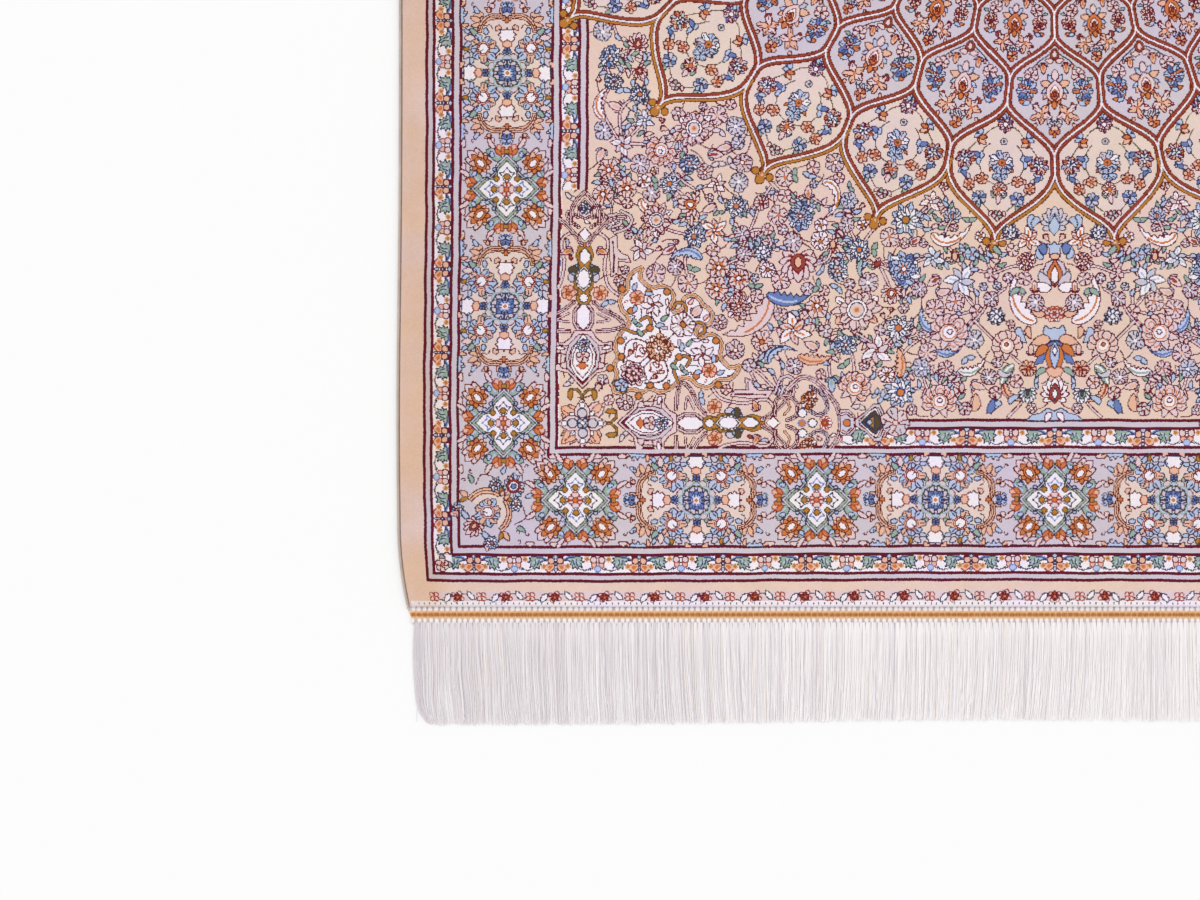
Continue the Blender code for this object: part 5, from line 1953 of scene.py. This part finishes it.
@dataclass(frozen=True)
class BoundWeave:
    """White warps bound in bundles, with painted shade in the slits between, and a ragged run of golden weft
    across.
    """

    white: str = "F6EEEE"
    # the painted shade in the slits between the bundles
    slit_shade: str = "CBBDBB"
    gold: str = "A8611C"
    pale_gold: str = "F6C68E"  # where the weft dips between two bundles
    gold_at: float = 0.76605  # from the rug's middle
    gold_half: float = 0.00295
    ragged: float = 0.0009  # how much the edge of the golden run wanders in all
    wander: float = 700.0  # the scale of that noise
    fibres: tuple[float, ...] = (2600.0, 420.0, 900.0)  # and of the fibres', which run along the warps
    crest: float = 0.0015  # the level of a bundle's top
    hollow: float = 0.0008  # and of the slit beside it
    roughness: float = 0.6

    def material(self) -> bpy.types.Material:
        """Builds the material."""
        made, add = new_material("bound end weave")
        here = add("TexCoord").outputs["Object"]
        _, along, level = add("SeparateXYZ", [here]).outputs
        # a band of weft whose edges are ragged
        ragged = add("TexNoise", {"Vector": here, "Scale": self.wander, "Detail": 2.0})
        ragged = add("Math", [ragged, self.ragged, -self.ragged / 2 - self.gold_at], operation="MULTIPLY_ADD")
        along = add("Math", [add("Math", [along], operation="ABSOLUTE"), ragged], operation="ADD")
        aside = add("Math", [along], operation="ABSOLUTE")
        golden = add("Math", [aside, self.gold_half], operation="LESS_THAN")
        # fine fibres along the warps, and painted shade between the bundles
        fibres = add("Mapping", {"Vector": here, "Scale": self.fibres})
        grain = add("TexNoise", {"Vector": fibres, "Scale": 1.0, "Detail": 2.0})
        low = add("MapRange", [level, self.hollow, 0.9 * self.crest])
        grey = add("Math", [grain, 0.6, 0.7], operation="MULTIPLY_ADD")
        shade = add("Math", [grey, low], operation="MULTIPLY", use_clamp=True)
        pale = add("Mix", [shade, linear(self.slit_shade), linear(self.white)], data_type="RGBA")
        # the weft is richest on the crests, near the middle of the run
        core = add("MapRange", [aside, 0.0008, 0.0025, 1.0, 0.0])
        raised = add("MapRange", [level, self.hollow, self.crest, 0.25, 1.0])
        crest = add("Math", [core, raised], operation="MULTIPLY")
        uneven = add("Math", [grain, 1.2, 0.4], operation="MULTIPLY_ADD")
        crest = add("Math", [crest, uneven], operation="MULTIPLY", use_clamp=True)
        rich = add("Mix", [crest, linear(self.pale_gold), linear(self.gold)], data_type="RGBA")
        weave = add("BsdfPrincipled", {
            "Base Color": add("Mix", [golden, pale, rich], data_type="RGBA"),
            "Roughness": self.roughness,
            "Sheen Weight": 0.2,
            "Normal": add("Bump", {"Strength": 0.7, "Distance": 0.0002, "Height": grain}),
        })
        add("OutputMaterial", [weave])
        return made


@dataclass
class EndWeave:
    """The band past one end of the pile, in which the warps are bound into bundles."""

    outline: RugOutline
    end: int
    bundles: int = 222
    base_top: float = 0.0007
    bundle_level: float = 0.0009
    lump: float = 0.001  # the radius of a lump before it is stretched
    lump_apart: float = 0.0044
    near_lump: tuple[float, ...] = (1.95, 2.5, 0.66)  # how the three lumps of a bundle are stretched
    middle_lump: tuple[float, ...] = (2.35, 3.1, 0.72)
    far_lump: tuple[float, ...] = (1.75, 2.3, 0.62)

    def base(self) -> bpy.types.Object:
        """The flat band itself, closed, to the part's outline."""
        o, end = self.outline, self.end
        inner, outer = o.half_length + o.gap, o.weave_outer
        first, last = o.weave_ends(end, inner), o.weave_ends(end, outer)
        corners = [(x, end * inner) for x in first] + [(x, end * outer) for x in last[::-1]]
        points = [(x, y, z) for z in (0.0, self.base_top) for x, y in corners[::end]]
        faces = [(3, 2, 1, 0), (4, 5, 6, 7)] + [(i, (i + 1) % 4, (i + 1) % 4 + 4, i + 4) for i in range(4)]
        return plain_mesh("band", points, faces)

    def tree(self, material: bpy.types.Material) -> bpy.types.NodeTree:
        """The geometry tree that sets a ridge of three lumps at each bundle."""
        inputs = {"Band": "Geometry", "First_bundle": "Vector", "Step": "Vector", "Bundles": "Int"}
        tree, add, given = new_tree("bundles of warps", **inputs)
        places = {"Count": given["Bundles"], "Start Location": given["First bundle"], "Offset": given["Step"]}
        row = add("MeshLine", places, mode="OFFSET")
        lump = add("MeshUVSphere", {"Segments": 8, "Rings": 6, "Radius": self.lump})
        lumps = []
        for step, size in ((-1, self.near_lump), (0, self.middle_lump), (1, self.far_lump)):
            shift = (0.0, step * self.lump_apart * self.end, 0.0)
            lumps.append(add("Transform", {"Geometry": lump, "Translation": shift, "Scale": size}))
        ridge = add("JoinGeometry", [lumps])
        turn, size = (
            add("FunctionNodeRandomValue", {0: least, 1: most, "Seed": seed}, data_type="FLOAT_VECTOR")
            for least, most, seed in (
                ((0.0, 0.0, -0.12), (0.0, 0.0, 0.12), 3),
                ((0.9, 0.93, 0.85), (1.08, 1.05, 1.12), 5),
            )
        )
        placed = add("InstanceOnPoints", {"Points": row, "Instance": ridge, "Rotation": turn, "Scale": size})
        return end_tree(tree, material, placed, given["Band"])

    def build(self, material: bpy.types.Material) -> bpy.types.Object:
        """Makes the band and its bundles."""
        middle = self.outline.half_length + self.outline.weave_depth / 2
        left, right = self.outline.weave_ends(self.end, middle)
        pitch = (right - left) / self.bundles
        return grown(f"bound_end_{ENDS[self.end]}", self.base(), self.tree(material), {
            "First bundle": (left + pitch / 2, self.end * middle, self.bundle_level),
            "Step": (pitch, 0.0, 0.0),
            "Bundles": self.bundles,
        })


@dataclass(frozen=True)
class OvercastSilk:
    """Silk wound tightly round the edge cord: close turns, dull from handling and soiled in patches."""

    colour: str = "D9CCC2"
    shade: str = "A89488"
    patches: float = 38.0  # the scale of the soiled patches' noise
    roughness: float = 0.6

    def material(self) -> bpy.types.Material:
        """Builds the material."""
        made, add = new_material("overcast silk")
        here = add("TexCoord").outputs["Object"]
        patches = add("TexNoise", {"Vector": here, "Scale": self.patches, "Detail": 4.0})
        darkened = add("Mix", [patches, linear(self.shade), linear(self.colour)], data_type="RGBA")
        add("OutputMaterial", [add("BsdfPrincipled", {"Base Color": darkened, "Roughness": self.roughness})])
        return made


@dataclass
class OvercastSide:
    """The cord along one side with the silk that is wound round it."""

    outline: RugOutline
    side: int
    turn_pitch: float = 0.0019  # drawn coarser than the real turns, which would be too fine to see
    silk: float = 0.0008
    slant: float = 0.42  # radians

    def tree(self, material: bpy.types.Material) -> bpy.types.NodeTree:
        """The geometry tree: a core tube and a slanted ring at each turn."""
        inputs = {"Path": "Geometry", "Core_radius": "Float", "Turn_pitch": "Float", "Silk_radius": "Float"}
        tree, add, given = new_tree("overcast cord", **inputs)
        path = add("MeshToCurve", {"Mesh": given["Path"]})
        round_core = add("CurvePrimitiveCircle", {"Resolution": 8, "Radius": given["Core radius"]})
        core = add("CurveToMesh", {"Curve": path, "Profile Curve": round_core, "Fill Caps": True})
        turns = add("ResampleCurve", {"Curve": path, "Length": given["Turn pitch"]}, mode="LENGTH")
        section = add("CurvePrimitiveCircle", {"Resolution": 4, "Radius": given["Silk radius"]})
        turn = add("CurveToMesh", {"Curve": round_core, "Profile Curve": section})
        facing = add("FunctionNodeAlignRotationToVector", {"Vector": add("InputTangent")}, axis="Z")
        lean = {"Rotation": facing, "Rotate By": (0.0, self.slant, 0.0)}
        slant = add("FunctionNodeRotateRotation", lean, rotation_space="LOCAL")
        wound = add("InstanceOnPoints", {"Points": turns, "Instance": turn, "Rotation": slant})
        return end_tree(tree, material, wound, core)

    def build(self, material: bpy.types.Material) -> bpy.types.Object:
        """Makes the cord."""
        o, radius = self.outline, self.outline.side_cord / 2
        y = np.linspace(-o.half_length + 0.001, o.half_length - 0.001, 160)
        x = self.side * (o.half_width(self.side, y) - radius)
        path = line_source(np.column_stack([x, y, np.full(len(y), radius)])[None])
        return grown(f"overcast_cord_{SIDES[self.side]}", path, self.tree(material), {
            "Core radius": radius - self.silk / 2,
            "Turn pitch": self.turn_pitch,
            "Silk radius": self.silk / 2,
        })


@dataclass
class Studio:
    """A pale floor, soft light and the camera straight above the near left corner."""

    looks_at: tuple[float, float] = (-0.345, -0.641)
    frame_width: float = 0.912
    height: float = 3.0
    sensor: float = 36.0
    floor_colour: str = "FBFBFB"
    floor_half: float = 60.0
    floor_drop: float = 0.0004
    sky: float = 0.85  # the strength of the even light
    sun: float = 0.75
    sun_spread: float = 0.5  # radians, which softens the shadows
    sun_tilt: tuple[float, float] = (-38.0, -28.0)  # degrees about x and y

    def build(self) -> None:
        """Makes the floor, the lights and the camera."""
        scene = bpy.context.scene
        scene.view_settings.view_transform = "Standard"
        # a matt white floor, which gives no highlight
        paint, add = new_material("matt white floor")
        looks = {"Base Color": linear(self.floor_colour), "Roughness": 1.0, "Specular IOR Level": 0.0}
        add("OutputMaterial", [add("BsdfPrincipled", looks)])
        far = self.floor_half
        corners = [(x, y, -self.floor_drop) for x, y in ((-far, -far), (far, -far), (far, far), (-far, far))]
        plain_mesh("floor", corners, [(0, 1, 2, 3)], material=paint)
        world = bpy.data.worlds.new("pale studio")
        world.use_nodes = True
        background = world.node_tree.nodes["Background"].inputs
        background["Color"].default_value, background["Strength"].default_value = (1.0,) * 4, self.sky
        scene.world = world
        lamp = bpy.data.lights.new("soft window", "SUN")
        lamp.energy, lamp.angle = self.sun, self.sun_spread
        light = bpy.data.objects.new("soft window", lamp)
        light.rotation_euler = (*(math.radians(tilt) for tilt in self.sun_tilt), 0.0)
        lens = bpy.data.cameras.new("camera above")
        lens.sensor_width, lens.lens = self.sensor, self.sensor * self.height / self.frame_width
        camera = bpy.data.objects.new("camera above", lens)
        camera.location = (*self.looks_at, self.height)
        for made in (light, camera):
            scene.collection.objects.link(made)
        scene.camera = camera


def settle(piece: bpy.types.Object, node: str) -> bpy.types.Object:
    """Makes a piece ride on the rug's body and stand for its node, whose imported part it hides."""
    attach(piece, "root")
    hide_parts(node)
    log.info("%s: %d faces", piece.name, len(piece.data.polygons))
    return piece


def main() -> None:
    """Loads the frame and dresses it."""
    logging.basicConfig(level=logging.INFO, format="%(name)s: %(message)s")
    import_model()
    outline = RugOutline()
    pile = KnottedPile(outline, KnotCells()).build(Cartoon().knots())
    settle(pile, "knotted_pile")
    cord_silk = OvercastSilk().material()
    for side, name in SIDES.items():
        settle(OvercastSide(outline, side).build(cord_silk), f"overcast_side_{name}")
    weave, warps = BoundWeave().material(), LooseSilk().material()
    for end, name in ENDS.items():
        for part, material in ((EndWeave, weave), (Fringe, warps)):
            settle(part(outline, end).build(material), f"fringed_end_{name}")
    Studio().build()


if __name__ == "__main__":
    main()
